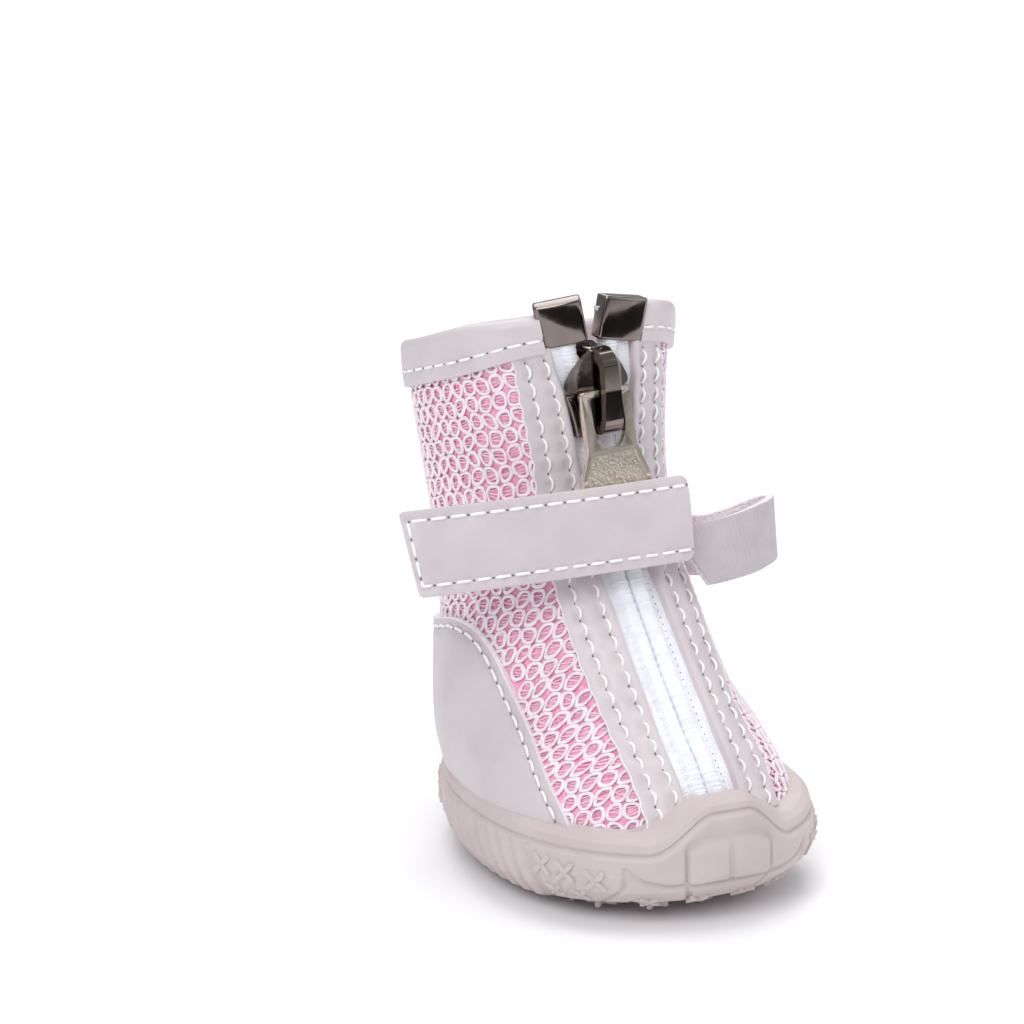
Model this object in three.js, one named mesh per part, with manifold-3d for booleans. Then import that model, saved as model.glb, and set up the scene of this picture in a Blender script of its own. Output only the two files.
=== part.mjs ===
// A small dog boot: a mesh bootie with a front zip, in a moulded rubber cup sole, closed by a strap.
// Millimetres, +Z up. The origin is on the ground under the middle of the sole, and the toe points to -Y.

import * as THREE from 'three';
import { mergeVertices } from 'three/addons/utils/BufferGeometryUtils.js';
import Module from 'manifold-3d';

const wasm = await Module();
wasm.setup();

// Driving dimensions
const WALL = 2.0;            // spacer mesh and lining together
const GAP = 0.3;             // left between pieces that meet
const AROUND = 48;           // points round a section
const AROUND_SOLE = 72;
const INSOLE_THICK = 2.0;

// The last, section by section from the sole's floor to the collar. Each section is a tilted egg:
// height and depth of its front and back, half width, how much it narrows to the back, and roundness.
const SECTION_COLUMNS = ['frontZ', 'frontY', 'backZ', 'backY', 'half', 'egg', 'frontPower', 'backPower'];
const SECTION_ROWS = [
  [5.0, -25.0, 4.0, 25.5, 18.0, 0.12, 2.1, 2.1],
  [11.0, -26.2, 9.0, 27.0, 19.4, 0.12, 2.1, 2.1],
  [16.5, -23.3, 14.0, 28.0, 19.2, 0.0, 2.1, 2.1],
  [21.9, -17.8, 19.0, 28.5, 17.5, -0.12, 2.1, 2.1],
  [27.5, -12.4, 24.0, 29.0, 16.4, -0.125, 2.1, 2.1],
  [33.3, -7.3, 29.0, 29.3, 15.6, -0.12, 2.15, 2.1],
  [38.9, -2.4, 34.0, 29.8, 15.0, -0.12, 2.2, 2.2],
  [44.5, 1.0, 38.5, 30.5, 14.9, -0.115, 2.3, 2.2],
  [51.0, 3.6, 44.5, 31.5, 15.2, -0.1, 2.45, 2.3],
  [58.5, 4.5, 50.5, 33.0, 15.6, -0.1, 2.6, 2.4],
  [65.3, 4.9, 56.5, 34.0, 16.1, -0.1, 2.7, 2.4],
  [70.0, 5.4, 60.5, 34.8, 16.3, -0.07, 2.7, 2.4],
];
const RINGS_PER_SECTION = 2;

// The rubber cup, ring by ring from the middle of the tread up to the roll that grips the upper:
// height at the side, front, back, half width, lift of the toe wave and lift of the toe spring.
const SOLE_COLUMNS = ['side', 'frontY', 'backY', 'half', 'wave', 'spring'];
const SOLE_ROWS = [
  [1.0, -18.0, 21.0, 13.2, 0, 0.3],
  [1.1, -23.6, 24.2, 16.6, 0, 1.2],
  [2.1, -26.9, 26.6, 18.7, 0, 1.2],
  [4.1, -28.9, 28.0, 20.2, 0, 0.9],
  [6.6, -29.8, 28.8, 21.0, 0, 0.4],
  [9.2, -29.7, 28.8, 21.1, 4.9, 0],
  [9.8, -29.0, 28.3, 20.6, 5.0, 0],
  [10.2, -29.2, 28.5, 20.8, 4.9, 0],
  [11.1, -28.9, 28.3, 20.6, 4.7, 0],
  [11.8, -27.9, 27.7, 19.9, 4.4, 0],
  [12.1, -25.9, 26.1, 18.4, 4.1, 0],
  [11.9, -24.3, 24.8, 17.2, 3.8, 0],
];
const SOLE_POWER = 2.1;
const SOLE_EGG = 0.12;
const WAVE_FLAT = 3.4;       // half width of the wave's crest over the toe
const WAVE_FOOT = 9.8;       // where the wave has run out
const SPRING_START = -12;    // the tread rises from here to the toe

// Cross shaped lugs under the sole. Each row is mirrored to the other side unless it is on the centre line.
const LUG_COLUMNS = ['x', 'y', 'size'];
const LUG_ROWS = [
  [11.1, -16.8, 3.4], [12.1, -12.0, 3.4], [11.4, -6.6, 3.4], [9.9, -1.0, 3.4], [8.8, 4.6, 3.4],
  [6.4, -16.3, 3.3], [6.8, -11.2, 3.3], [5.4, -1.0, 3.0], [4.9, 3.9, 3.0],
  [0, -15.0, 4.0],
  [0, -21.2, 3.3], [6.2, -21.0, 3.3],
  [2.8, 10.6, 3.8], [8.6, 10.6, 3.8], [2.8, 16.2, 3.8], [8.3, 16.0, 3.6], [2.7, 21.4, 3.4],
];
const LUG_ARM = 1.0;
const LUG_DEPTH = 1.0;
const LUG_ROOT = 0.8;        // how far a lug reaches into the tread
const LUG_TOE_RISE = 0.13;   // how steeply the lugs follow the toe spring
const LUG_SIDE_RISE = 0.1;   // and how the tread is crowned towards its sides
const LUG_CROWN_HALF = 8;    // from this distance off the centre line
const TREAD_DISC = { radius: 2.9, y: 0 };
const TOE_BLOCKS = { low: 6.0, high: 11.0, proud: 0.5, ranges: [[-5.4, -0.3], [0.6, 6.1]] };

// The zip runs up the front centre line, and leans a little to one side above the instep.
const ZIP = {
  bottom: 12.9, top: 70.6, slotBottom: 12.0,
  narrow: 3.3, wide: 4.9, narrowUpTo: 46, wideFrom: 60,
  tapeBack: -1.6, tapeFront: -0.7, coilHalf: 2.1, coilFront: 0.0, coilUpTo: 65.5, clipHeight: 69,
  leanFrom: 50, lean: 0.06,
  notchApex: 61.6, notchSlant: 0.5, notchMost: 1.75,
};
const SLIDER = {
  height: 60.7, plateBack: 0.35, plateFront: 1.45, backFront: -1.95, backBack: -2.6,
  bridgeHalf: 1.25, bridgeTop: 4.3, windowTop: 3.05,
};
const TAB = { pivotUp: 0.4, pivotOut: 2.3, thick: 1.1, bar: 0.9, eyeHalf: 2.1, tilt: 0.185, length: 18.4 };

// The two crimped end clips over the collar, either side of the zip's open end.
const CLIP_COLUMNS = ['name', 'x', 'z', 'turn', 'width', 'height'];
const CLIP_ROWS = [
  ['end_clip_left', -4.75, 69.05, 10, 6.2, 5.7],
  ['end_clip_right', 3.7, 68.7, -12, 6.6, 5.6],
];
const CLIP = { front: 0.4, back: -2.6 };

// The stiff strip across the front and the hook tape that comes back from it round a fold.
// A ribbon's rows give the middle of its height at each station, and how far its foot leans forward.
const STRIP = {
  left: -28.3, right: 8.3, crest: 2.0, depth: -4.75, leftRadius: 75, rightRadius: 34,
  height: 44.85, sag: 0.253, halfHeight: 5.35, thick: 1.2, lean: 0.31, stations: 14,
  leftSlant: 2.3, rightSlant: -1.1,
};
const TAPE_COLUMNS = ['x', 'y', 'z', 'lean'];
const TAPE_ROWS = [
  [4.4, -3.65, 39.3, 0.40],
  [9.5, -3.3, 39.2, 0.38],
  [14.0, -2.55, 39.2, 0.35],
  [18.4, -0.8, 39.1, 0.30],
  [21.7, 1.1, 39.1, 0.22],
  [24.1, 3.0, 39.0, 0.14],
  [25.3, 4.5, 39.0, 0.06],
  [25.1, 5.7, 38.9, 0.0],
  [23.6, 6.6, 38.5, 0.0],
  [20.4, 7.8, 37.2, 0.0],
  [18.1, 9.2, 36.3, 0.0],
  [17.0, 11.8, 35.8, 0.0],
  [16.9, 14.8, 35.5, 0.0],
  [16.9, 17.8, 35.3, 0.0],
];
const TAPE = { halfHeight: 3.95, thick: 1.0 };

const rowsToObjects = (columns, rows) =>
  rows.map((row) => Object.fromEntries(columns.map((name, i) => [name, row[i]])));

const sections = rowsToObjects(SECTION_COLUMNS, SECTION_ROWS);
const soleRows = rowsToObjects(SOLE_COLUMNS, SOLE_ROWS);
const lugs = rowsToObjects(LUG_COLUMNS, LUG_ROWS);
const tapeRows = rowsToObjects(TAPE_COLUMNS, TAPE_ROWS);
const clips = rowsToObjects(CLIP_COLUMNS, CLIP_ROWS);

// ---- shapes and solids -------------------------------------------------------------------------

const signedPower = (value, power) => Math.sign(value) * Math.abs(value) ** (2 / power);

// A closed manifold solid from a three.js geometry.
function solid(geometry) {
  const bare = geometry.clone();
  bare.deleteAttribute('normal');
  bare.deleteAttribute('uv');
  const merged = mergeVertices(bare, 1e-5);
  return new wasm.Manifold(new wasm.Mesh({
    numProp: 3,
    vertProperties: new Float32Array(merged.attributes.position.array),
    triVerts: new Uint32Array(merged.index.array),
  }));
}

// A three.js geometry from a manifold solid.
function geometryOf(body) {
  const mesh = body.getMesh();
  const geometry = new THREE.BufferGeometry();
  geometry.setAttribute('position', new THREE.BufferAttribute(new Float32Array(mesh.vertProperties), 3));
  geometry.setIndex(new THREE.BufferAttribute(new Uint32Array(mesh.triVerts), 1));
  geometry.computeVertexNormals();
  return geometry;
}

// A closed body through rings of equal count, each closed at its ends by a fan from its middle.
// Rings run anticlockwise seen from the end that the list grows towards.
function loft(rings) {
  const count = rings[0].length;
  const positions = rings.flat().flatMap((point) => [point.x, point.y, point.z]);
  const index = [];
  for (let r = 0; r < rings.length - 1; r += 1) {
    for (let i = 0; i < count; i += 1) {
      const a = r * count + i;
      const b = r * count + ((i + 1) % count);
      index.push(a, b, b + count, a, b + count, a + count);
    }
  }
  const cap = (ring, first, up) => {
    const middle = positions.length / 3;
    const centre = ring.reduce((sum, point) => sum.add(point), new THREE.Vector3()).divideScalar(count);
    positions.push(centre.x, centre.y, centre.z);
    for (let i = 0; i < count; i += 1) {
      const a = first + i;
      const b = first + ((i + 1) % count);
      if (up) index.push(a, b, middle);
      else index.push(b, a, middle);
    }
  };
  cap(rings[0], 0, false);
  cap(rings[rings.length - 1], (rings.length - 1) * count, true);
  const geometry = new THREE.BufferGeometry();
  geometry.setAttribute('position', new THREE.Float32BufferAttribute(positions, 3));
  geometry.setIndex(index);
  return geometry;
}

function box(low, high) {
  const size = new THREE.Vector3().subVectors(high, low);
  const middle = new THREE.Vector3().addVectors(low, high).multiplyScalar(0.5);
  return new THREE.BoxGeometry(size.x, size.y, size.z).translate(middle.x, middle.y, middle.z);
}

function outline(points) {
  return new THREE.Shape(points.map(([x, y]) => new THREE.Vector2(x, y)));
}

// A flat outline given for its right half, top to bottom, and mirrored to the left.
function mirrored(half) {
  const left = half.map(([x, y]) => [-x, y]).reverse();
  return outline([...half, ...left]);
}

function plate(shape, from, to, curveSegments = 8) {
  const geometry = new THREE.ExtrudeGeometry(shape, { depth: to - from, bevelEnabled: false, curveSegments });
  return geometry.translate(0, 0, from);
}

// ---- the last ----------------------------------------------------------------------------------

// A section between the table's rows, on a smooth curve through them.
function sectionAt(level) {
  const last = sections.length - 1;
  const index = THREE.MathUtils.clamp(Math.floor(level), 0, last - 1);
  const t = level - index;
  const slope = (name, k) => {
    if (k === 0) return sections[1][name] - sections[0][name];
    if (k === last) return sections[last][name] - sections[last - 1][name];
    return (sections[k + 1][name] - sections[k - 1][name]) / 2;
  };
  const value = (name) =>
    (2 * t ** 3 - 3 * t ** 2 + 1) * sections[index][name] + (t ** 3 - 2 * t ** 2 + t) * slope(name, index)
    + (3 * t ** 2 - 2 * t ** 3) * sections[index + 1][name] + (t ** 3 - t ** 2) * slope(name, index + 1);
  return Object.fromEntries(SECTION_COLUMNS.map((name) => [name, value(name)]));
}

function pointOnLast(angle, level) {
  const row = sectionAt(level);
  const power = Math.cos(angle) > 0 ? row.frontPower : row.backPower;
  const along = -signedPower(Math.cos(angle), power);
  const across = signedPower(Math.sin(angle), power);
  return new THREE.Vector3(
    row.half * across * (1 - row.egg * along),
    (row.frontY + row.backY) / 2 + ((row.backY - row.frontY) / 2) * along,
    (row.frontZ + row.backZ) / 2 + ((row.backZ - row.frontZ) / 2) * along,
  );
}

const TOP_LEVEL = sections.length - 1;

function normalOnLast(angle, level) {
  const step = 0.02;
  const low = Math.max(level - step, 0);
  const high = Math.min(level + step, TOP_LEVEL);
  const up = pointOnLast(angle, high).sub(pointOnLast(angle, low));
  const along = pointOnLast(angle + step, level).sub(pointOnLast(angle - step, level));
  return along.cross(up).normalize();
}

function offsetPoint(angle, level, offset) {
  return pointOnLast(angle, level).addScaledVector(normalOnLast(angle, level), offset);
}

function ringOnLast(level, offset) {
  return Array.from({ length: AROUND }, (_, i) => offsetPoint((i / AROUND) * 2 * Math.PI, level, offset));
}

// The filled last, grown by an offset, between two levels, and run on past its ends by a length.
function lastForm(fromLevel, toLevel, offset, runDown = 0, runUp = 0) {
  const steps = Math.round((toLevel - fromLevel) * RINGS_PER_SECTION);
  const rings = Array.from({ length: steps + 1 }, (_, i) =>
    ringOnLast(fromLevel + ((toLevel - fromLevel) * i) / steps, offset));
  const shifted = (ring, z) => ring.map((point) => point.clone().add(new THREE.Vector3(0, 0, z)));
  if (runDown > 0) rings.unshift(shifted(rings[0], -runDown));
  if (runUp > 0) rings.push(shifted(rings[rings.length - 1], runUp));
  return solid(loft(rings));
}

// The level whose front edge is at a height.
function levelAtFront(height) {
  let low = 0;
  let high = TOP_LEVEL;
  for (let i = 0; i < 40; i += 1) {
    const middle = (low + high) / 2;
    if (sectionAt(middle).frontZ < height) low = middle;
    else high = middle;
  }
  return (low + high) / 2;
}

const zipLean = (height) => -ZIP.lean * Math.max(height - ZIP.leanFrom, 0);

function zipHalf(height) {
  const t = THREE.MathUtils.clamp((height - ZIP.narrowUpTo) / (ZIP.wideFrom - ZIP.narrowUpTo), 0, 1);
  return ZIP.narrow + (ZIP.wide - ZIP.narrow) * t;
}

// A point on the zip's line: its place on the front edge, and the directions across, up and out.
function zipFrame(height) {
  const level = levelAtFront(height);
  const origin = pointOnLast(0, level);
  origin.x = zipLean(origin.z);
  const out = normalOnLast(0, level);
  const lean = height > ZIP.leanFrom ? ZIP.lean : 0;
  const across = new THREE.Vector3(1, 0, lean).normalize();
  const up = out.clone().cross(across).normalize();
  return { origin, across, up, out };
}

// ---- pieces ------------------------------------------------------------------------------------

function upperForm() {
  const outer = lastForm(0, TOP_LEVEL, 0);
  const inner = lastForm(0, TOP_LEVEL, -WALL, 6, 8);
  const high = 90;
  const side = [
    [zipLean(high) + ZIP.wide, high], [zipLean(ZIP.wideFrom) + ZIP.wide, ZIP.wideFrom],
    [ZIP.narrow, ZIP.narrowUpTo], [ZIP.narrow, ZIP.slotBottom],
    [-ZIP.narrow, ZIP.slotBottom], [-ZIP.narrow, ZIP.narrowUpTo],
    [zipLean(ZIP.wideFrom) - ZIP.wide, ZIP.wideFrom], [zipLean(high) - ZIP.wide, high],
  ];
  const slot = plate(outline(side), -14, 50).rotateX(Math.PI / 2);
  const shell = outer.subtract(inner).subtract(solid(slot));
  return clips.reduce((form, clip) => form.subtract(clipBlock(clip, GAP)), shell);
}

function insoleForm() {
  const foot = ringOnLast(0, -WALL - GAP);
  const top = foot.map((point) => point.clone().add(new THREE.Vector3(0, 0, INSOLE_THICK)));
  return solid(loft([foot, top]));
}

function solePoint(angle, row, grow) {
  const along = -signedPower(Math.cos(angle), SOLE_POWER);
  const across = signedPower(Math.sin(angle), SOLE_POWER);
  const x = (row.half + grow) * across * (1 - SOLE_EGG * along);
  const front = row.frontY - grow;
  const y = (front + row.backY + grow) / 2 + ((row.backY + grow - front) / 2) * along;
  const crest = y < 0 ? 1 - THREE.MathUtils.smoothstep(Math.abs(x), WAVE_FLAT, WAVE_FOOT) : 0;
  const rise = Math.max((SPRING_START - y) / (SPRING_START - row.frontY), 0);
  return new THREE.Vector3(x, y, row.side + row.wave * crest + row.spring * rise);
}

function soleBlock(grow) {
  return solid(loft(soleRows.map((row) =>
    Array.from({ length: AROUND_SOLE }, (_, i) =>
      solePoint((i / AROUND_SOLE) * 2 * Math.PI, row, grow)))));
}

function crossLug(x, y, size) {
  const arm = LUG_ARM / 2;
  const reach = size / 2 / Math.cos(Math.PI / 4);
  const cross = outline([
    [arm, arm], [arm, reach], [-arm, reach], [-arm, arm], [-reach, arm], [-reach, -arm],
    [-arm, -arm], [-arm, -reach], [arm, -reach], [arm, -arm], [reach, -arm], [reach, arm],
  ]);
  const rise = LUG_TOE_RISE * Math.max(SPRING_START - y, 0)
    + LUG_SIDE_RISE * Math.max(Math.abs(x) - LUG_CROWN_HALF, 0);
  return solid(plate(cross, rise, rise + LUG_DEPTH + LUG_ROOT).rotateZ(Math.PI / 4).translate(x, y, 0));
}

function soleForm() {
  let body = soleBlock(0);
  const blocks = soleBlock(TOE_BLOCKS.proud);
  for (const [left, right] of TOE_BLOCKS.ranges) {
    const cut = box(
      new THREE.Vector3(left, -40, TOE_BLOCKS.low),
      new THREE.Vector3(right, -24, TOE_BLOCKS.high),
    );
    body = body.add(blocks.intersect(solid(cut)));
  }
  body = body.subtract(lastForm(0, 4, GAP, GAP));
  for (const { x, y, size } of lugs) {
    body = body.add(crossLug(x, y, size));
    if (x > 0) body = body.add(crossLug(-x, y, size));
  }
  const tall = LUG_DEPTH + LUG_ROOT;
  const disc = new THREE.CylinderGeometry(TREAD_DISC.radius, TREAD_DISC.radius, tall, 24);
  disc.rotateX(Math.PI / 2).translate(0, TREAD_DISC.y, tall / 2);
  return body.add(solid(disc));
}

// The zip's tape with its coil, between two heights and grown all round by a gap.
function zipTape(grow, from, to) {
  const steps = Math.ceil((to - from) / 2);
  const rings = Array.from({ length: steps + 1 }, (_, i) => {
    const height = from + ((to - from) * i) / steps;
    const { origin, across, out } = zipFrame(height);
    const half = zipHalf(height) - GAP + grow;
    const coil = ZIP.coilHalf + grow;
    const back = ZIP.tapeBack - grow;
    const front = ZIP.tapeFront + grow;
    const crown = height < ZIP.coilUpTo ? ZIP.coilFront + grow : front + 0.01;
    const profile = [
      [-half, front], [-coil, front], [-coil, crown], [coil, crown], [coil, front], [half, front],
      [half, back], [-half, back],
    ];
    return profile.map(([s, n]) =>
      origin.clone().addScaledVector(across, s).addScaledVector(out, n));
  });
  return solid(loft(rings));
}

function zipForm() {
  const high = ZIP.top + 4;
  const open = ZIP.notchApex + ZIP.notchMost / ZIP.notchSlant;
  const notch = plate(outline([
    [zipLean(ZIP.notchApex), ZIP.notchApex],
    [zipLean(open) + ZIP.notchMost, open], [zipLean(high) + ZIP.notchMost, high],
    [zipLean(high) - ZIP.notchMost, high], [zipLean(open) - ZIP.notchMost, open],
  ]), -14, 50).rotateX(Math.PI / 2);
  return zipTape(0, ZIP.bottom, ZIP.top).subtract(solid(notch));
}

const sliderFrame = zipFrame(SLIDER.height);

function placed(geometry, frame) {
  const matrix = new THREE.Matrix4().makeBasis(frame.across, frame.up, frame.out).setPosition(frame.origin);
  return geometry.applyMatrix4(matrix);
}

// A profile drawn up and out, given a width across.
function sideways(points, half) {
  const geometry = plate(outline(points), -half, half);
  const matrix = new THREE.Matrix4().makeBasis(
    new THREE.Vector3(0, 1, 0), new THREE.Vector3(0, 0, 1), new THREE.Vector3(1, 0, 0));
  return geometry.applyMatrix4(matrix);
}

function sliderForm() {
  const front = plate(mirrored([
    [1.3, 5.8], [2.7, 4.4], [3.7, 2.4], [4.1, 0.5], [4.0, -0.4], [3.3, -0.8], [3.2, -5.8],
  ]), SLIDER.plateBack, SLIDER.plateFront);
  const back = plate(mirrored([
    [1.2, 5.4], [2.6, 4.2], [3.4, 1.6], [3.1, -0.8], [3.0, -5.4],
  ]), SLIDER.backBack, SLIDER.backFront);
  const pieces = [front, back];
  for (const side of [-1, 1]) {
    const edges = [side * 2.6, side * 3.25].sort((a, b) => a - b);
    pieces.push(box(new THREE.Vector3(edges[0], -5.8, -0.35), new THREE.Vector3(edges[1], -0.8, 0.6)));
  }
  pieces.push(box(new THREE.Vector3(-0.6, 3.4, SLIDER.backBack + 0.1), new THREE.Vector3(0.6, 4.9, 0.8)));
  const foot = 0.9;
  pieces.push(sideways([
    [5.6, foot], [5.6, 2.3], [5.0, 3.6], [3.8, SLIDER.bridgeTop], [-3.8, SLIDER.bridgeTop - 0.2],
    [-4.9, 3.6], [-5.4, 2.5], [-5.4, foot], [-4.3, foot], [-4.3, 2.5], [-3.7, SLIDER.windowTop],
    [3.2, SLIDER.windowTop], [4.1, 2.3], [4.1, foot],
  ], SLIDER.bridgeHalf));
  return pieces.map((piece) => solid(placed(piece, sliderFrame))).reduce((sum, piece) => sum.add(piece));
}

function tabFrame() {
  const origin = sliderFrame.origin.clone()
    .addScaledVector(sliderFrame.up, TAB.pivotUp)
    .addScaledVector(sliderFrame.out, TAB.pivotOut);
  const across = sliderFrame.across;
  const up = new THREE.Vector3(0, -1, TAB.tilt).cross(across).normalize();
  return { origin, across, up, out: across.clone().cross(up) };
}

function tabForm() {
  const half = TAB.thick / 2;
  const body = plate(mirrored([
    [2.9, 0.8], [3.5, 0.3], [3.5, -4.0], [3.45, -7.6], [4.0, -9.6], [4.7, -11.4], [4.9, -14.5],
    [4.2, -17.2], [2.4, -TAB.length],
  ]), -half, half);
  const eye = plate(mirrored([
    [TAB.eyeHalf, -TAB.bar / 2], [2.15, -4.4], [1.9, -6.0], [1.2, -7.2], [0.5, -7.6],
  ]), -half - 1, half + 1);
  const frame = tabFrame();
  const bar = TAB.bar / 2;
  const cuts = [
    eye,
    box(new THREE.Vector3(-TAB.eyeHalf, -1, -2), new THREE.Vector3(TAB.eyeHalf, 2, -bar)),
    box(new THREE.Vector3(-TAB.eyeHalf, -1, bar), new THREE.Vector3(TAB.eyeHalf, 2, 2)),
    box(new THREE.Vector3(-TAB.eyeHalf, bar, -2), new THREE.Vector3(TAB.eyeHalf, 2, 2)),
  ];
  return cuts.reduce((form, cut) => form.subtract(solid(placed(cut, frame))), solid(placed(body, frame)));
}

// A clip's outer block, grown all round by a gap.
function clipBlock({ x, z, turn, width, height }, grow) {
  const frame = zipFrame(ZIP.clipHeight);
  const rim = frame.origin.y;
  const low = new THREE.Vector3(-width / 2 - grow, rim - CLIP.front - grow, -height / 2 - grow);
  const high = new THREE.Vector3(width / 2 + grow, rim - CLIP.back + grow, height / 2 + grow);
  return solid(box(low, high).rotateY(-THREE.MathUtils.degToRad(turn)).translate(x, 0, z));
}

// The clip is a box crimped round the end of the zip's tape, open below.
function clipForm(clip) {
  const tapeEnd = zipTape(GAP, ZIP.clipHeight - 4, ZIP.top + GAP);
  return clipBlock(clip, 0).subtract(tapeEnd);
}

// A flat band along stations: x, y and z of the middle of its height, lean of its foot, and slant,
// how much further along its foot is than its top.
function ribbon(rows, halfHeight, thick) {
  const rings = rows.map((row, i) => {
    const before = rows[Math.max(i - 1, 0)];
    const after = rows[Math.min(i + 1, rows.length - 1)];
    const along = new THREE.Vector3(after.x - before.x, after.y - before.y, 0).normalize();
    const out = along.clone().cross(new THREE.Vector3(0, 0, 1)).normalize();
    const up = new THREE.Vector3(0, 0, 1).addScaledVector(out, -row.lean).normalize();
    const face = along.clone().cross(up).normalize();
    const centre = new THREE.Vector3(row.x, row.y, row.z);
    return [[-1, -1], [1, -1], [1, 1], [-1, 1]].map(([upSide, outSide]) => centre.clone()
      .addScaledVector(up, upSide * halfHeight)
      .addScaledVector(along, (-upSide * (row.slant ?? 0)) / 2)
      .addScaledVector(face, (outSide * thick) / 2));
  });
  return solid(loft(rings));
}

function stripRows() {
  return Array.from({ length: STRIP.stations + 1 }, (_, i) => {
    const x = STRIP.left + ((STRIP.right - STRIP.left) * i) / STRIP.stations;
    const radius = x < STRIP.crest ? STRIP.leftRadius : STRIP.rightRadius;
    const back = (x - STRIP.crest) ** 2 / (2 * radius);
    const slant = STRIP.leftSlant + ((STRIP.rightSlant - STRIP.leftSlant) * i) / STRIP.stations;
    return { x, y: STRIP.depth + back, z: STRIP.height - STRIP.sag * back, lean: STRIP.lean, slant };
  });
}

// ---- the boot ----------------------------------------------------------------------------------

const FINISHES = {
  mesh: { color: 0xf3a9c6, roughness: 0.9, metalness: 0 },
  rubber: { color: 0xcfc1bf, roughness: 0.65, metalness: 0 },
  lining: { color: 0xe9c3d0, roughness: 0.95, metalness: 0 },
  leatherette: { color: 0xd9cfd6, roughness: 0.5, metalness: 0 },
  tape: { color: 0xbfb4ba, roughness: 0.8, metalness: 0 },
  zip: { color: 0xf1f1f8, roughness: 0.7, metalness: 0 },
  nickel: { color: 0x8d837c, roughness: 0.2, metalness: 1 },
};

const boot = new THREE.Group();

function addPiece(name, form, finish) {
  const mesh = new THREE.Mesh(geometryOf(form), new THREE.MeshStandardMaterial(FINISHES[finish]));
  mesh.name = name;
  boot.add(mesh);
}

addPiece('sole', soleForm(), 'rubber');
addPiece('upper', upperForm(), 'mesh');
addPiece('insole', insoleForm(), 'lining');
addPiece('zip_chain', zipForm(), 'zip');
addPiece('zip_slider', sliderForm(), 'nickel');
addPiece('pull_tab', tabForm(), 'nickel');
for (const clip of clips) addPiece(clip.name, clipForm(clip), 'nickel');
addPiece('strap_strip', ribbon(stripRows(), STRIP.halfHeight, STRIP.thick), 'leatherette');
addPiece('strap_tape', ribbon(tapeRows, TAPE.halfHeight, TAPE.thick), 'tape');

export default boot;
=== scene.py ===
"""The looks of a small dog boot: a pink mesh bootie with a front zip in a moulded rubber cup sole.

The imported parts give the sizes. Every soft piece is cut flat in bmesh, in millimetres, and then draped on the
same last that the parts were made on. The toe points to -Y, and the ground is at z 0.
"""

import logging
import math
from collections.abc import Iterable, Sequence
from dataclasses import dataclass, field
from enum import Enum

import bmesh
import bpy
import numpy as np
from bmesh.types import BMEdge, BMesh, BMVert
from mathutils import Matrix, Vector


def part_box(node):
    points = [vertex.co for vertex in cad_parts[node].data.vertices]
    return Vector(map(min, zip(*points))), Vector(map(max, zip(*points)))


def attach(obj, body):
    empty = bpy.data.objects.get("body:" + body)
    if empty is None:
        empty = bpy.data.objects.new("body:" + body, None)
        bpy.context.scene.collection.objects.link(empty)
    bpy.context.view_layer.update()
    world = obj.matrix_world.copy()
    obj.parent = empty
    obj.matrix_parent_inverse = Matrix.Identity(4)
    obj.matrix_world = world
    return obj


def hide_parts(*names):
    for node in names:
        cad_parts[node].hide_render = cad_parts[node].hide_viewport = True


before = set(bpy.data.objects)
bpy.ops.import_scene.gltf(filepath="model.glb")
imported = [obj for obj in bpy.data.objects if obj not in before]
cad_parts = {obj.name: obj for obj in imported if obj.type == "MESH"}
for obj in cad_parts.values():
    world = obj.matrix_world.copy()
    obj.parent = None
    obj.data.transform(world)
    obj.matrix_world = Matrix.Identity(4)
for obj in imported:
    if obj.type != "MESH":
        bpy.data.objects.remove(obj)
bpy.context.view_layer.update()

MM = 0.001
WALL = 2.0
GAP = 0.3
TAU = 2 * math.pi
log = logging.getLogger("dog_boot")

Array = np.ndarray
Rows = tuple[tuple[float, ...], ...]


# ---- mesh helpers ----

def positions(bm: BMesh) -> Array:
    """The vertices' places as an array, one row each."""
    return np.array([vert.co for vert in bm.verts], float).reshape(-1, 3)


def move_to(bm: BMesh, places: Array) -> None:
    """Puts the vertices, in their order, at new places."""
    for vert, place in zip(bm.verts, places):
        vert.co = place


def sheet(columns: int, rows: int) -> BMesh:
    """A flat unit square of quads, from 0 to 1 along x and y.

    Args:
        columns: number of quads along x.
        rows: number of quads along y.

    Returns:
        The new bmesh.
    """
    bm = bmesh.new()
    bmesh.ops.create_grid(bm, x_segments=columns, y_segments=rows, size=0.5)
    bmesh.ops.translate(bm, verts=bm.verts, vec=(0.5, 0.5, 0.0))
    return bm


def arc_length(line: Array) -> Array:
    """The length along a polyline at each of its points."""
    return np.pad(np.cumsum(np.linalg.norm(np.diff(line, axis=0), axis=1)), (1, 0))


def normalised(vectors: Array) -> Array:
    """Vectors scaled to length 1."""
    return vectors / np.maximum(np.linalg.norm(vectors, axis=-1, keepdims=True), 1e-9)


def round_off(bm: BMesh, geom: Sequence, radius: float, segments: int, affect: str = "EDGES",
              clamp: bool = False) -> None:
    """Rounds edges or corners.

    Args:
        bm: the shape.
        geom: the edges, or the vertices of a flat outline.
        radius: how far back the rounding starts.
        segments: faces over the rounding.
        affect: EDGES or VERTICES.
        clamp: stops where roundings would meet.
    """
    bmesh.ops.bevel(bm, geom=geom, offset=radius, offset_type="OFFSET", segments=segments, profile=0.5,
                    affect=affect, material=-1, clamp_overlap=clamp)


def extruded(bm: BMesh, shift: Sequence[float]) -> None:
    """Extrudes every face by a shift and closes the sides."""
    grown = bmesh.ops.extrude_face_region(bm, geom=bm.faces[:], use_keep_orig=True)
    far = [item for item in grown["geom"] if isinstance(item, BMVert)]
    bmesh.ops.translate(bm, verts=far, vec=shift)


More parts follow.
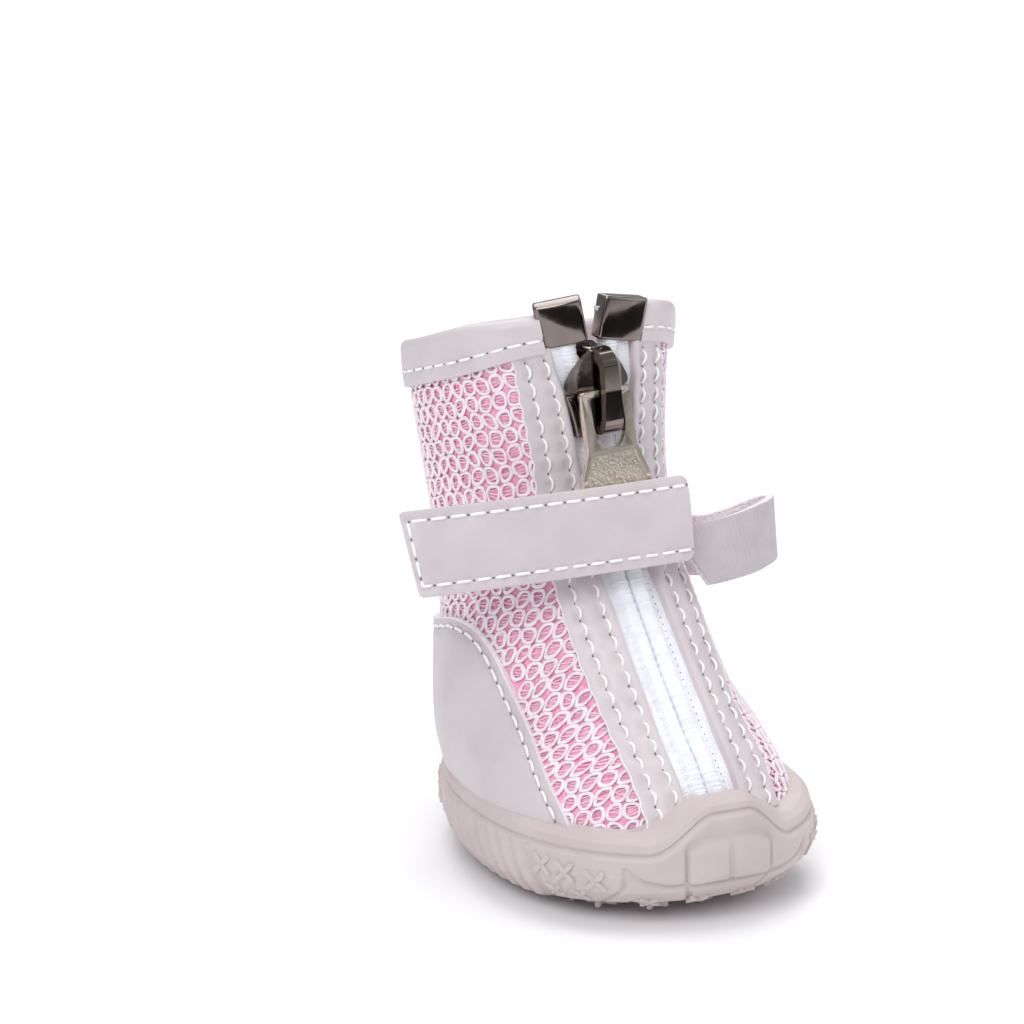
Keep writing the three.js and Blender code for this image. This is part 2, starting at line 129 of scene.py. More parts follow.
def sharp_edges(bm: BMesh, turn: float = 1.2) -> list[BMEdge]:
    """The edges between two faces that turn by more than an angle in radians."""
    bmesh.ops.recalc_face_normals(bm, faces=bm.faces)
    bm.normal_update()
    return [edge for edge in bm.edges if edge.is_manifold and edge.calc_face_angle(0.0) > turn]


def rim_edges(bm: BMesh, height: float) -> list[BMEdge]:
    """The sharp edges round the top of a slab whose top is at a height."""
    bm.normal_update()
    return [edge for edge in bm.edges
            if edge.is_manifold and edge.calc_face_angle(0.0) > 0.7
            and all(vert.co.z > height - 1e-4 for vert in edge.verts)]


def thicken(bm: BMesh, thickness: float, round_edge: float = 0.0, segments: int = 2) -> None:
    """Turns a flat sheet into a slab that stands on z 0, with a rounded upper rim and a cut side.

    Args:
        bm: the flat sheet, at z 0.
        thickness: the slab's height.
        round_edge: radius of the upper rim, none when 0.
        segments: faces round the rim.
    """
    extruded(bm, (0.0, 0.0, thickness))
    if round_edge > 0:
        round_off(bm, rim_edges(bm, thickness), round_edge, segments, clamp=True)
    bmesh.ops.recalc_face_normals(bm, faces=bm.faces)
    bm.normal_update()
    for face in bm.faces:
        if abs(face.normal.z) < 0.3:
            face.material_index = 1


def keep_flat_uv(bm: BMesh) -> None:
    """Stores each corner's flat place, in millimetres, as the UV that woven patterns follow."""
    layer = bm.loops.layers.uv.new("flat")
    for face in bm.faces:
        for loop in face.loops:
            loop[layer].uv = loop.vert.co.xy


def slab(grid: tuple[int, int], size: tuple[float, float], thickness: float,
         round_edge: float) -> BMesh:
    """A cut panel that stands on z 0, from x 0 and y 0.

    Args:
        grid: quads along x and y.
        size: its length and width in millimetres.
        thickness: how thick it is.
        round_edge: radius of its upper rim.

    Returns:
        The new bmesh.
    """
    bm = sheet(*grid)
    bmesh.ops.scale(bm, verts=bm.verts, vec=(*size, 1.0))
    thicken(bm, thickness, round_edge)
    return bm


def joined(parts: Iterable[BMesh]) -> BMesh:
    """One bmesh with everything from several, which are freed."""
    whole = bmesh.new()
    for part in parts:
        shelf = bpy.data.meshes.new("shelf")
        part.to_mesh(shelf)
        part.free()
        whole.from_mesh(shelf)
        bpy.data.meshes.remove(shelf)
    return whole


def copies(unit: BMesh, places: Array) -> BMesh:
    """Copies of a unit shape, each with its own vertex places.

    Args:
        unit: the shape that repeats.
        places: copies x vertices x 3, in millimetres.

    Returns:
        One bmesh of all the copies.
    """
    unit.verts.index_update()
    faces = [[vert.index for vert in face.verts] for face in unit.faces]
    count = len(unit.verts)
    every = [[index + turn * count for index in face] for turn in range(len(places)) for face in faces]
    shelf = bpy.data.meshes.new("shelf")
    shelf.from_pydata(places.reshape(-1, 3), [], every)
    bm = bmesh.new()
    bm.from_mesh(shelf)
    bpy.data.meshes.remove(shelf)
    return bm


def wrapped_tube(sides: int, rings: int) -> tuple[BMesh, Array, Array]:
    """An open sheet rolled into a tube, merged along its seam.

    Returns:
        The tube along x from 0 to 1 with radius 1, and each vertex's place along it and angle round it.
    """
    bm = sheet(rings, sides)
    flat = positions(bm)
    turn = flat[:, 1] * TAU
    move_to(bm, np.stack([flat[:, 0], np.cos(turn), np.sin(turn)], 1))
    bmesh.ops.remove_doubles(bm, verts=bm.verts, dist=1e-5)
    rolled = positions(bm)
    return bm, rolled[:, 0], np.arctan2(rolled[:, 2], rolled[:, 1])


def distance_to(points: Array, line: Array) -> Array:
    """Distance from each 2-D point to a polyline."""
    best = np.full(len(points), 1e9)
    for start, end in zip(line[:-1], line[1:]):
        run = end - start
        share = np.clip(((points - start) @ run) / max(run @ run, 1e-12), 0, 1)
        best = np.minimum(best, np.linalg.norm(points - start - share[:, None] * run, axis=1))
    return best


def smooth_line(points: Sequence[Sequence[float]], count: int = 80) -> Array:
    """A Catmull-Rom curve through points, resampled evenly in its parameter."""
    knots = np.array(points, float)
    padded = np.vstack([2 * knots[0] - knots[1], knots, 2 * knots[-1] - knots[-2]])
    spot = np.linspace(0, len(knots) - 1 - 1e-9, count)
    index = spot.astype(int)
    t = (spot - index)[:, None]
    a, b, c, d = (padded[index + k] for k in range(4))
    return 0.5 * (2 * b + (c - a) * t + (2 * a - 5 * b + 4 * c - d) * t ** 2
                  + (3 * b - a - 3 * c + d) * t ** 3)


def smoothstep(value: Array, low: float, high: float) -> Array:
    """0 below low, 1 above high, and smooth between."""
    t = np.clip((value - low) / (high - low), 0, 1)
    return t * t * (3 - 2 * t)


def signed_power(value: Array, power: Array | float) -> Array:
    """The superellipse's coordinate from a cosine or sine."""
    return np.sign(value) * np.abs(value) ** (2 / power)


def sample(table: Array, row: Array, column: Array) -> Array:
    """Bilinear reading of a table at fractional rows and columns."""
    row = np.clip(row, 0, table.shape[0] - 1.001)
    column = np.clip(column, 0, table.shape[1] - 1.001)
    r, c = row.astype(int), column.astype(int)
    fr, fc = row - r, column - c
    return ((table[r, c] * (1 - fc) + table[r, c + 1] * fc) * (1 - fr)
            + (table[r + 1, c] * (1 - fc) + table[r + 1, c + 1] * fc) * fr)


# ---- finishes ----

def linear(code: str) -> tuple[float, float, float, float]:
    """An sRGB hex colour as linear RGBA."""
    channels = (int(code[i:i + 2], 16) / 255 for i in (1, 3, 5))
    return (*(c / 12.92 if c <= 0.04045 else ((c + 0.055) / 1.055) ** 2.4 for c in channels), 1.0)


def add_node(tree: bpy.types.NodeTree, kind: str, settings: dict | None = None,
             inputs: dict | None = None) -> bpy.types.Node:
    """Adds a node with its settings, its input values and its links.

    Args:
        tree: the material's tree.
        kind: the node's type name.
        settings: attributes of the node.
        inputs: a value or an output socket for each named or numbered input.

    Returns:
        The node.
    """
    node = tree.nodes.new(kind)
    for name, value in (settings or {}).items():
        setattr(node, name, value)
    for name, value in (inputs or {}).items():
        if isinstance(value, bpy.types.NodeSocket):
            tree.links.new(value, node.inputs[name])
        else:
            node.inputs[name].default_value = value
    return node


class Space(Enum):
    """What a pattern follows."""

    OBJECT = "Object"
    FLAT = "UV"


class Pattern(Enum):
    """The relief patterns that finishes are made of."""

    NOISE = "noise"
    CELLS = "cells"
    RIBS = "ribs"
    WEAVE = "weave"


@dataclass(frozen=True)
class Grain:
    """One relief pattern of a surface.

    Args:
        pattern: which pattern.
        size: length of one repeat in millimetres.
        height: relief in millimetres.
        space: what the pattern follows.
        detail: octaves of a noise.
    """

    pattern: Pattern
    size: float
    height: float
    space: Space = Space.OBJECT
    detail: float = 3.0


@dataclass(frozen=True)
class Finish:
    """A real material and how its surface was made.

    Args:
        name: material's name.
        colour: main sRGB colour.
        shade: second colour, which lies in soft patches over the first.
        patch: size of those patches in millimetres.
        amount: how much of the second colour the patches take.
        roughness: middle of the roughness.
        spread: how much the roughness varies.
        metallic: 1 for metals.
        grains: the relief patterns.
        sheen: fibre sheen.
        coat: clear coat's weight.
        subsurface: how much light the stuff passes.
    """

    name: str
    colour: str
    shade: str
    patch: float = 3.0
    amount: float = 0.5
    roughness: float = 0.5
    spread: float = 0.1
    metallic: float = 0.0
    grains: tuple[Grain, ...] = ()
    sheen: float = 0.0
    coat: float = 0.0
    subsurface: float = 0.0

    def material(self) -> bpy.types.Material:
        """The finish as a Blender material, made once."""
        known = bpy.data.materials.get(self.name)
        if known:
            return known
        made = bpy.data.materials.new(self.name)
        made.use_nodes = True
        tree = made.node_tree
        shader = tree.nodes["Principled BSDF"]
        shader.inputs["Metallic"].default_value = self.metallic
        shader.inputs["Sheen Weight"].default_value = self.sheen
        shader.inputs["Sheen Roughness"].default_value = 0.4
        shader.inputs["Coat Weight"].default_value = self.coat
        shader.inputs["Coat Roughness"].default_value = 0.3
        if self.subsurface > 0:
            shader.inputs["Subsurface Weight"].default_value = self.subsurface
            shader.inputs["Subsurface Radius"].default_value = (1.0, 0.6, 0.6)
            shader.inputs["Subsurface Scale"].default_value = MM
        spot = add_node(tree, "ShaderNodeTexCoord")
        patches = self.relief(tree, spot, Grain(Pattern.NOISE, self.patch, 0.0, detail=4.0))
        mixed = add_node(tree, "ShaderNodeMix", {"data_type": "RGBA"},
                         {6: linear(self.colour), 7: linear(self.shade)})
        share = add_node(tree, "ShaderNodeMapRange", {"interpolation_type": "SMOOTHSTEP"}, {
            "Value": patches, "From Min": 0.35, "From Max": 0.7, "To Max": self.amount})
        tree.links.new(share.outputs["Result"], mixed.inputs["Factor"])
        tree.links.new(mixed.outputs[2], shader.inputs["Base Color"])
        worn = self.relief(tree, spot, Grain(Pattern.NOISE, self.patch * 0.4, 0.0, detail=4.0))
        rough = add_node(tree, "ShaderNodeMapRange", None, {
            "Value": worn, "From Min": 0.3, "From Max": 0.7,
            "To Min": self.roughness - self.spread, "To Max": self.roughness + self.spread})
        tree.links.new(rough.outputs["Result"], shader.inputs["Roughness"])
        normal = None
        for grain in self.grains:
            height = self.relief(tree, spot, grain)
            inputs = {"Height": height, "Distance": grain.height * MM, "Strength": 1.0}
            if normal is not None:
                inputs["Normal"] = normal
            normal = add_node(tree, "ShaderNodeBump", None, inputs).outputs["Normal"]
        if normal is not None:
            tree.links.new(normal, shader.inputs["Normal"])
        return made

    def relief(self, tree: bpy.types.NodeTree, spot: bpy.types.Node, grain: Grain) -> bpy.types.NodeSocket:
        """The height of one grain as a socket from 0 to 1."""
        unit = MM if grain.space is Space.OBJECT else 1.0
        placed = add_node(tree, "ShaderNodeMapping", None, {
            "Vector": spot.outputs[grain.space.value], "Scale": (1 / (grain.size * unit),) * 3})
        vector = placed.outputs["Vector"]
        if grain.pattern is Pattern.NOISE:
            return add_node(tree, "ShaderNodeTexNoise", None,
                            {"Vector": vector, "Scale": 1.0, "Detail": grain.detail}).outputs["Fac"]
        if grain.pattern is Pattern.CELLS:
            return add_node(tree, "ShaderNodeTexVoronoi", {"feature": "SMOOTH_F1"},
                            {"Vector": vector, "Scale": 1.0, "Smoothness": 0.6}).outputs["Distance"]
        settings = {"wave_type": "BANDS", "bands_direction": "X", "wave_profile": "SIN"}
        across = add_node(tree, "ShaderNodeTexWave", settings, {"Vector": vector, "Scale": 1 / TAU * 2})
        if grain.pattern is Pattern.RIBS:
            return across.outputs["Fac"]
        along = add_node(tree, "ShaderNodeTexWave", {**settings, "bands_direction": "Y"},
                         {"Vector": vector, "Scale": 1 / TAU * 2})
        return add_node(tree, "ShaderNodeMath", {"operation": "MULTIPLY"},
                        {0: across.outputs["Fac"], 1: along.outputs["Fac"]}).outputs["Value"]


# Moulded thermoplastic rubber: dull, faintly mauve, with a fine mould texture and soft stains.
RUBBER = Finish("rubber_moulded", "#cfc2c0", "#c2b3b1", patch=9.0, amount=0.6, roughness=0.62, spread=0.08,
                grains=(Grain(Pattern.NOISE, 0.35, 0.02), Grain(Pattern.NOISE, 2.4, 0.06)), subsurface=0.08)
# Knitted spacer polyester under the net: a dense matt pink, with darker pink patches laid at random as painted
# shade of the deep open loops.
SPACER = Finish("spacer_knit", "#ffc0d9", "#f288b7", patch=0.9, amount=0.7, roughness=0.9, spread=0.05,
                grains=(Grain(Pattern.CELLS, 0.5, 0.12), Grain(Pattern.NOISE, 0.18, 0.03)), sheen=0.3,
                subsurface=0.2)
# White polyester yarn of the net: smooth filament with a soft shine, tinted by the pink behind it.
YARN = Finish("net_yarn", "#fff3f8", "#fde0ec", patch=1.2, amount=0.6, roughness=0.5, spread=0.08,
              grains=(Grain(Pattern.NOISE, 0.12, 0.02),), sheen=0.3, subsurface=0.35)
# Fine pink filaments that cross the holes of the net.
FILAMENT = Finish("pink_filament", "#ffe3ee", "#fbc0d9", patch=0.8, amount=0.6, roughness=0.5, sheen=0.2,
                  subsurface=0.2)
# Coated leatherette: a soft grey-mauve skin with fine calendered grain and a low satin gloss.
LEATHERETTE = Finish("leatherette_calendered", "#d3cacc", "#c9c0c4", patch=7.0, amount=0.7, roughness=0.42,
                     spread=0.07, grains=(Grain(Pattern.CELLS, 0.45, 0.012), Grain(Pattern.NOISE, 3.0, 0.10)),
                     coat=0.08, subsurface=0.05)
# The knife-cut edge of the leatherette shows its white backing.
CUT_EDGE = Finish("leatherette_cut_edge", "#f6f2f4", "#e8e0e5", patch=0.6, amount=0.5, roughness=0.85,
                  grains=(Grain(Pattern.NOISE, 0.15, 0.04),))
# Twisted polyester sewing thread, bright white with a tight ply.
THREAD = Finish("sewing_thread", "#fffdfb", "#e9e5e6", patch=0.5, amount=0.4, roughness=0.4,
                grains=(Grain(Pattern.NOISE, 0.14, 0.03),), sheen=0.2, subsurface=0.1)
# The pierced hole where a stitch goes down, dark because no light gets in.
NEEDLE_HOLE = Finish("needle_hole", "#7d7070", "#5d5151", patch=0.5, amount=0.6, roughness=0.9)
# Woven polyester zip tape: cold white with a fine rib across.
ZIP_TAPE = Finish("zip_tape_woven", "#f7f8fd", "#e4e6f3", patch=2.2, amount=0.5, roughness=0.75, spread=0.06,
                  grains=(Grain(Pattern.WEAVE, 0.34, 0.05, Space.FLAT), Grain(Pattern.NOISE, 0.2, 0.02)),
                  sheen=0.25, subsurface=0.1)
# Dark nickel plate, tumble polished: near mirror with faint smears.
DARK_NICKEL = Finish("nickel_polished_dark", "#8a8079", "#6f6560", patch=5.0, amount=0.5, roughness=0.1,
                     spread=0.04, metallic=1.0, grains=(Grain(Pattern.NOISE, 2.2, 0.012),))
# The pull's lighter, warmer nickel.
PALE_NICKEL = Finish("nickel_polished_pale", "#fbf0e0", "#eadbc8", patch=4.0, amount=0.4, roughness=0.17,
                     spread=0.05, metallic=1.0, grains=(Grain(Pattern.NOISE, 1.8, 0.01),))
# The cast pebbled field inside the pull's raised border.
PEBBLED_NICKEL = Finish("nickel_cast_pebbled", "#fbf1e2", "#dccfbd", patch=0.5, amount=0.7, roughness=0.42,
                        metallic=1.0, grains=(Grain(Pattern.CELLS, 0.35, 0.08),))
# Brushed nylon of the hook tape's outer face, with the faint ribs of its weave.
HOOK_TAPE = Finish("hook_tape_nylon", "#c6bcc1", "#b9aeb4", patch=3.0, amount=0.5, roughness=0.6, spread=0.08,
                   grains=(Grain(Pattern.RIBS, 0.9, 0.05, Space.FLAT), Grain(Pattern.NOISE, 0.25, 0.02)),
                   sheen=0.2)
# The hooked side: a dense white pile.
HOOKS = Finish("hook_tape_pile", "#f4f0f2", "#d9d2d6", patch=0.5, amount=0.6, roughness=0.9,
               grains=(Grain(Pattern.CELLS, 0.4, 0.25),), sheen=0.4)
# Brushed tricot lining and the sock on the insole.
LINING = Finish("lining_tricot", "#ecd6df", "#e0bfcd", patch=2.0, amount=0.5, roughness=0.95,
                grains=(Grain(Pattern.CELLS, 0.5, 0.08),), sheen=0.4)
# Matt white paper of the studio floor.
PAPER = Finish("studio_paper", "#fafafc", "#f8f8fb", patch=200.0, amount=0.3, roughness=0.9, spread=0.02,
               grains=(Grain(Pattern.NOISE, 3.0, 0.02),))


def make_piece(bm: BMesh, name: str, finishes: Sequence[Finish],
               replaces: Sequence[str] = (), body: str = "boot", sharp: float = 40.0) -> bpy.types.Object:
    """Turns a bmesh in millimetres into a finished piece that rides on its body.

    Args:
        bm: the shape, which is freed.
        name: the piece's name.
        finishes: its materials, in the order of the face indices.
        replaces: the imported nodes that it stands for.
        body: the body that it moves with.
        sharp: edges turning by more degrees than this stay crisp.

    Returns:
        The object.
    """
    bmesh.ops.remove_doubles(bm, verts=bm.verts, dist=1e-4)
    bmesh.ops.dissolve_degenerate(bm, edges=bm.edges, dist=1e-5)
    bmesh.ops.recalc_face_normals(bm, faces=bm.faces)
    bmesh.ops.scale(bm, verts=bm.verts, vec=(MM, MM, MM))
    mesh = bpy.data.meshes.new(name)
    bm.to_mesh(mesh)
    bm.free()
    mesh.shade_smooth()
    mesh.set_sharp_from_angle(angle=math.radians(sharp))
    for finish in finishes:
        mesh.materials.append(finish.material())
    piece = bpy.data.objects.new(name, mesh)
    bpy.context.scene.collection.objects.link(piece)
    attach(piece, body)
    if replaces:
        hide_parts(*replaces)
    log.info("%s: %d faces", name, len(mesh.polygons))
    return piece


# ---- the last ----

@dataclass
class Last:
    """The foot form inside the boot: a tilted egg for each level, from the sole's floor to the collar.

    Args:
        rows: front height and depth, back height and depth, half width, egg, front and back roundness.
        level_step: spacing of the lookup tables up the last, in rows.
        wrap_step: their spacing round it and down it, in millimetres.
        deepest: how far down they reach, in millimetres.
    """

    rows: Rows = (
        (5.0, -25.0, 4.0, 25.5, 18.0, 0.12, 2.1, 2.1),
        (11.0, -26.2, 9.0, 27.0, 19.4, 0.12, 2.1, 2.1),
        (16.5, -23.3, 14.0, 28.0, 19.2, 0.0, 2.1, 2.1),
        (21.9, -17.8, 19.0, 28.5, 17.5, -0.12, 2.1, 2.1),
        (27.5, -12.4, 24.0, 29.0, 16.4, -0.125, 2.1, 2.1),
        (33.3, -7.3, 29.0, 29.3, 15.6, -0.12, 2.15, 2.1),
        (38.9, -2.4, 34.0, 29.8, 15.0, -0.12, 2.2, 2.2),
        (44.5, 1.0, 38.5, 30.5, 14.9, -0.115, 2.3, 2.2),
        (51.0, 3.6, 44.5, 31.5, 15.2, -0.1, 2.45, 2.3),
        (58.5, 4.5, 50.5, 33.0, 15.6, -0.1, 2.6, 2.4),
        (65.3, 4.9, 56.5, 34.0, 16.1, -0.1, 2.7, 2.4),
        (70.0, 5.4, 60.5, 34.8, 16.3, -0.07, 2.7, 2.4),
    )
    level_step: float = 0.05
    wrap_step: float = 0.25
    deepest: float = 85.0
    table: Array = field(init=False)
    slopes: Array = field(init=False)

    def __post_init__(self) -> None:
        """Works out the lookup tables of lengths round and up the last."""
        self.table = np.array(self.rows)
        middle = (self.table[2:] - self.table[:-2]) / 2
        self.slopes = np.vstack([self.table[1] - self.table[0], middle, self.table[-1] - self.table[-2]])
        self.top = len(self.rows) - 1.0
        self.levels = np.linspace(0, self.top, round(self.top / self.level_step) + 1)
        self.angles = np.linspace(0, math.pi, 361)
        grid = self.point(self.angles[None, :], self.levels[:, None])
        self.front_height = self.section(self.levels)[:, 0]
        self.from_front = np.array([arc_length(row) for row in grid])
        rise = np.array([arc_length(column) for column in grid.transpose(1, 0, 2)]).T
        below = rise - rise[-1]
        wraps = np.arange(0, 80, self.wrap_step)
        self.angle_from_front = np.array([np.interp(wraps, row, self.angles) for row in self.from_front])
        self.angle_from_back = np.array(
            [np.interp(wraps, (row[-1] - row)[::-1], self.angles[::-1]) for row in self.from_front])
        depths = np.arange(-self.deepest, 0.01, self.wrap_step)
        self.level_by_depth = np.array([np.interp(depths, column, self.levels) for column in below.T])

    def section(self, level: Array) -> Array:
        """The table's columns at fractional levels, on a smooth curve through the rows."""
        level = np.asarray(level, float)
        index = np.clip(np.floor(level).astype(int), 0, len(self.rows) - 2)
        t = (level - index)[..., None]
        blend = 3 * t ** 2 - 2 * t ** 3
        return ((1 - blend) * self.table[index] + blend * self.table[index + 1]
                + (t ** 3 - 2 * t ** 2 + t) * self.slopes[index] + (t ** 3 - t ** 2) * self.slopes[index + 1])

    def point(self, angle: Array, level: Array) -> Array:
        """Points on the last; angle 0 is the front centre and a quarter turn is the +X side."""
        row = self.section(level)
        cosine, sine = np.cos(angle), np.sin(angle)
        power = np.where(cosine > 0, row[..., 6], row[..., 7])
        along = -signed_power(cosine, power)
        across = signed_power(sine, power)
        return np.stack([
            row[..., 4] * across * (1 - row[..., 5] * along),
            (row[..., 1] + row[..., 3]) / 2 + (row[..., 3] - row[..., 1]) / 2 * along,
            (row[..., 0] + row[..., 2]) / 2 + (row[..., 2] - row[..., 0]) / 2 * along], -1)

    def normal(self, angle: Array, level: Array) -> Array:
        """Outward unit normals."""
        step = 0.02
        low, high = np.clip(level - step, 0, None), np.clip(level + step, None, self.top)
        up = self.point(angle, high) - self.point(angle, low)
        along = self.point(angle + step, level) - self.point(angle - step, level)
        return normalised(np.cross(along, up))

    def place(self, angle: Array, level: Array, out: Array, lift: Array | float = 0.0) -> Array:
        """Points off the last by a distance, and above the rim by a lift along the shaft."""
        angle, level = np.broadcast_arrays(np.asarray(angle, float), np.asarray(level, float))
        spot = self.point(angle, level) + self.normal(angle, level) * np.asarray(out)[..., None]
        rim, under = (self.point(angle, np.full_like(level, self.top - step)) for step in (0.0, 0.2))
        return spot + normalised(rim - under) * np.asarray(lift)[..., None]

    def unroll(self, around: Array, depth: Array) -> tuple[Array, Array]:
        """Angle and level for a length round from the heel's centre and a depth below the rim."""
        angle = np.full(np.shape(around), math.pi)
        level = np.full(np.shape(around), self.top)
        for _ in range(14):
            level = sample(self.level_by_depth, angle / math.pi * 360,
                           (np.minimum(depth, 0) + self.deepest) / self.wrap_step)
            angle = sample(self.angle_from_back, level / self.level_step, np.abs(around) / self.wrap_step)
        return np.where(around >= 0, angle, TAU - angle), level

    def drape_back(self, flat: Array) -> Array:
        """Drapes flat x, y, z: length round from the heel's centre, depth below the rim, distance out."""
        angle, level = self.unroll(flat[:, 0], flat[:, 1])
        return self.place(angle, level, flat[:, 2], np.maximum(flat[:, 1], 0))

    def drape_front(self, flat: Array) -> Array:
        """Drapes flat x, y, z: length round from the front centre, height of the front edge, distance out."""
        level = np.interp(flat[:, 1], self.front_height, self.levels)
        angle = sample(self.angle_from_front, level / self.level_step, np.abs(flat[:, 0]) / self.wrap_step)
        lift = np.maximum(flat[:, 1] - self.front_height[-1], 0)
        return self.place(np.sign(flat[:, 0]) * angle, level, flat[:, 2], lift)


@dataclass
class ZipLine:
    """The zip's line up the front: its lean, the slot's width and the flat frames along it.

    Args:
        lean_from: height above which it leans.
        lean: how far it leans for each millimetre up.
        narrow, wide: half the slot's width below and above.
        narrow_to, wide_from: heights between which it widens.
    """

    last: Last
    lean_from: float = 50.0
    lean: float = 0.06
    narrow: float = 3.3
    wide: float = 4.9
    narrow_to: float = 46.0
    wide_from: float = 60.0

    def middle(self, height: Array) -> Array:
        """Where the zip's centre is across the boot."""
        return -self.lean * np.maximum(height - self.lean_from, 0)

    def half(self, height: Array) -> Array:
        """Half the width of the slot."""
        share = np.clip((height - self.narrow_to) / (self.wide_from - self.narrow_to), 0, 1)
        return self.narrow + (self.wide - self.narrow) * share

    def frames(self, height: Array) -> tuple[Array, Array, Array]:
        """Origin, across and out for heights on the front edge."""
        last = self.last
        level = np.interp(height, last.front_height, last.levels)
        origin = last.point(np.zeros_like(level), level)
        origin[:, 2] += np.maximum(height - last.front_height[-1], 0)
        origin[:, 0] = self.middle(origin[:, 2])
        out = last.normal(np.zeros_like(level), level)
        tilt = np.where(height > self.lean_from, self.lean, 0.0)
        across = np.stack([np.ones_like(tilt), np.zeros_like(tilt), tilt], 1)
        return origin, normalised(across), out

    def drape(self, flat: Array) -> Array:
        """Drapes flat x, y, z: across the zip, height of the front edge, distance out."""
        origin, across, out = self.frames(flat[:, 1])
        return origin + across * flat[:, :1] + out * flat[:, 2:]

    def matrix(self, height: float) -> Matrix:
        """The frame at one height: x across, y up along the zip, z out."""
        origin, across, out = (Vector(part[0]) for part in self.frames(np.array([height])))
        return basis(origin, across, out.cross(across).normalized(), out)


def basis(origin: Vector, across: Vector, up: Vector, out: Vector) -> Matrix:
    """A placing matrix from an origin and three directions."""
    turned = Matrix((across, up, out)).transposed().to_4x4()
    return Matrix.Translation(origin) @ turned


# ---- sewing ----

@dataclass
class Sewing:
    """Rows of lockstitch: a thread that dives into a needle hole at each end.

    Args:
        thread: half the thread's thickness.
        crown: how far a stitch stands off the cloth.
        sunk: how deep its ends go.
        gap: share of the pitch between two stitches.
        hole: size of the needle holes.
    """

    thread: float = 0.2
    crown: float = 0.16
    sunk: float = 0.24
    gap: float = 0.08
    hole: float = 1.0
    stitches: list[Array] = field(default_factory=list)
    holes: list[Array] = field(default_factory=list)

    def __post_init__(self) -> None:
        """Makes the unit stitch and the unit hole."""
        self.unit, self.along, self.turn = wrapped_tube(6, 8)
        self.dimple = bmesh.new()
        bmesh.ops.create_uvsphere(self.dimple, u_segments=8, v_segments=4, radius=1.0)

    def row(self, line: Array, normals: Array, pitch: float, bulge: float = 0.0) -> None:
        """Sews one row along a dense line.

        Args:
            line: points on the cloth's surface.
            normals: outward directions there.
            pitch: length of one stitch.
            bulge: how far each stitch bows to the side.
        """
        reach = arc_length(line)
        count = max(int(reach[-1] / pitch), 1)
        pitch = reach[-1] / count
        starts = np.arange(count)[:, None] * pitch
        share = self.gap / 2 + (1 - self.gap) * self.along[None, :]
        spot = starts + share * pitch
        centre, tangent, out, side = self.ride(line, normals, reach, spot)
        swell = np.clip(1 - np.abs(2 * self.along - 1) ** 5, 0, 1)[None, :, None] ** 0.5
        arch = np.sin(math.pi * self.along)[None, :, None]
        round_side = np.cos(self.turn)[None, :, None] * self.thread * swell
        round_out = np.sin(self.turn)[None, :, None] * self.thread * 0.85 * swell
        self.stitches.append(centre + side * (bulge * arch + round_side)
                             + out * (round_out + (self.crown + self.sunk) * arch ** 0.6 - self.sunk))
        centre, tangent, out, side = self.ride(line, normals, reach, np.arange(count + 1)[:, None] * pitch)
        ball = np.array([vert.co for vert in self.dimple.verts])
        flat = ball[None, :, :] * np.array([0.17, 0.13, 0.06]) * self.hole
        self.holes.append(centre + tangent * flat[..., :1] + side * flat[..., 1:2] + out * flat[..., 2:])

    def ride(self, line: Array, normals: Array, reach: Array, spot: Array) -> tuple[Array, ...]:
        """Point, tangent, normal and sideways direction at lengths along a line."""
        def read(values: Array, where: Array) -> Array:
            return np.stack([np.interp(where, reach, values[:, k]) for k in range(3)], -1)
        step = 0.15
        tangent = normalised(read(line, spot + step) - read(line, spot - step))
        out = read(normals, spot)
        return read(line, spot), tangent, out, normalised(np.cross(out, tangent))

    def finish(self, name: str, slot: str) -> bpy.types.Object:
        """Joins every row into one piece."""
        threads = copies(self.unit, np.concatenate(self.stitches))
        pierced = copies(self.dimple, np.concatenate(self.holes))
        for face in pierced.faces:
            face.material_index = 1
        self.unit.free()
        self.dimple.free()
        return make_piece(joined([threads, pierced]), name, (THREAD, NEEDLE_HOLE), sharp=80)


def pucker(flat: Array, line: Array, pitch: float, width: float = 0.55, depth: float = 0.16) -> Array:
    """How far a seam pulls the cloth in: a trough along the line, deeper at each needle hole.

    Args:
        flat: flat places of the cloth's vertices, x and y.
        line: the seam, dense, in the same flat millimetres.
        pitch: length of one stitch.
        width: half width of the trough.
        depth: depth at a hole.

    Returns:
        Depth at each vertex.
    """
    reach = arc_length(line)
    nearest = np.argmin(((flat[:, None, :] - line[None, ::2, :]) ** 2).sum(-1), axis=1) * 2
    away = distance_to(flat, line)
    pull = 0.55 + 0.45 * np.cos(reach[nearest] / pitch * TAU)
    return depth * pull * np.exp(-(away / width) ** 2)


# ---- the upper ----

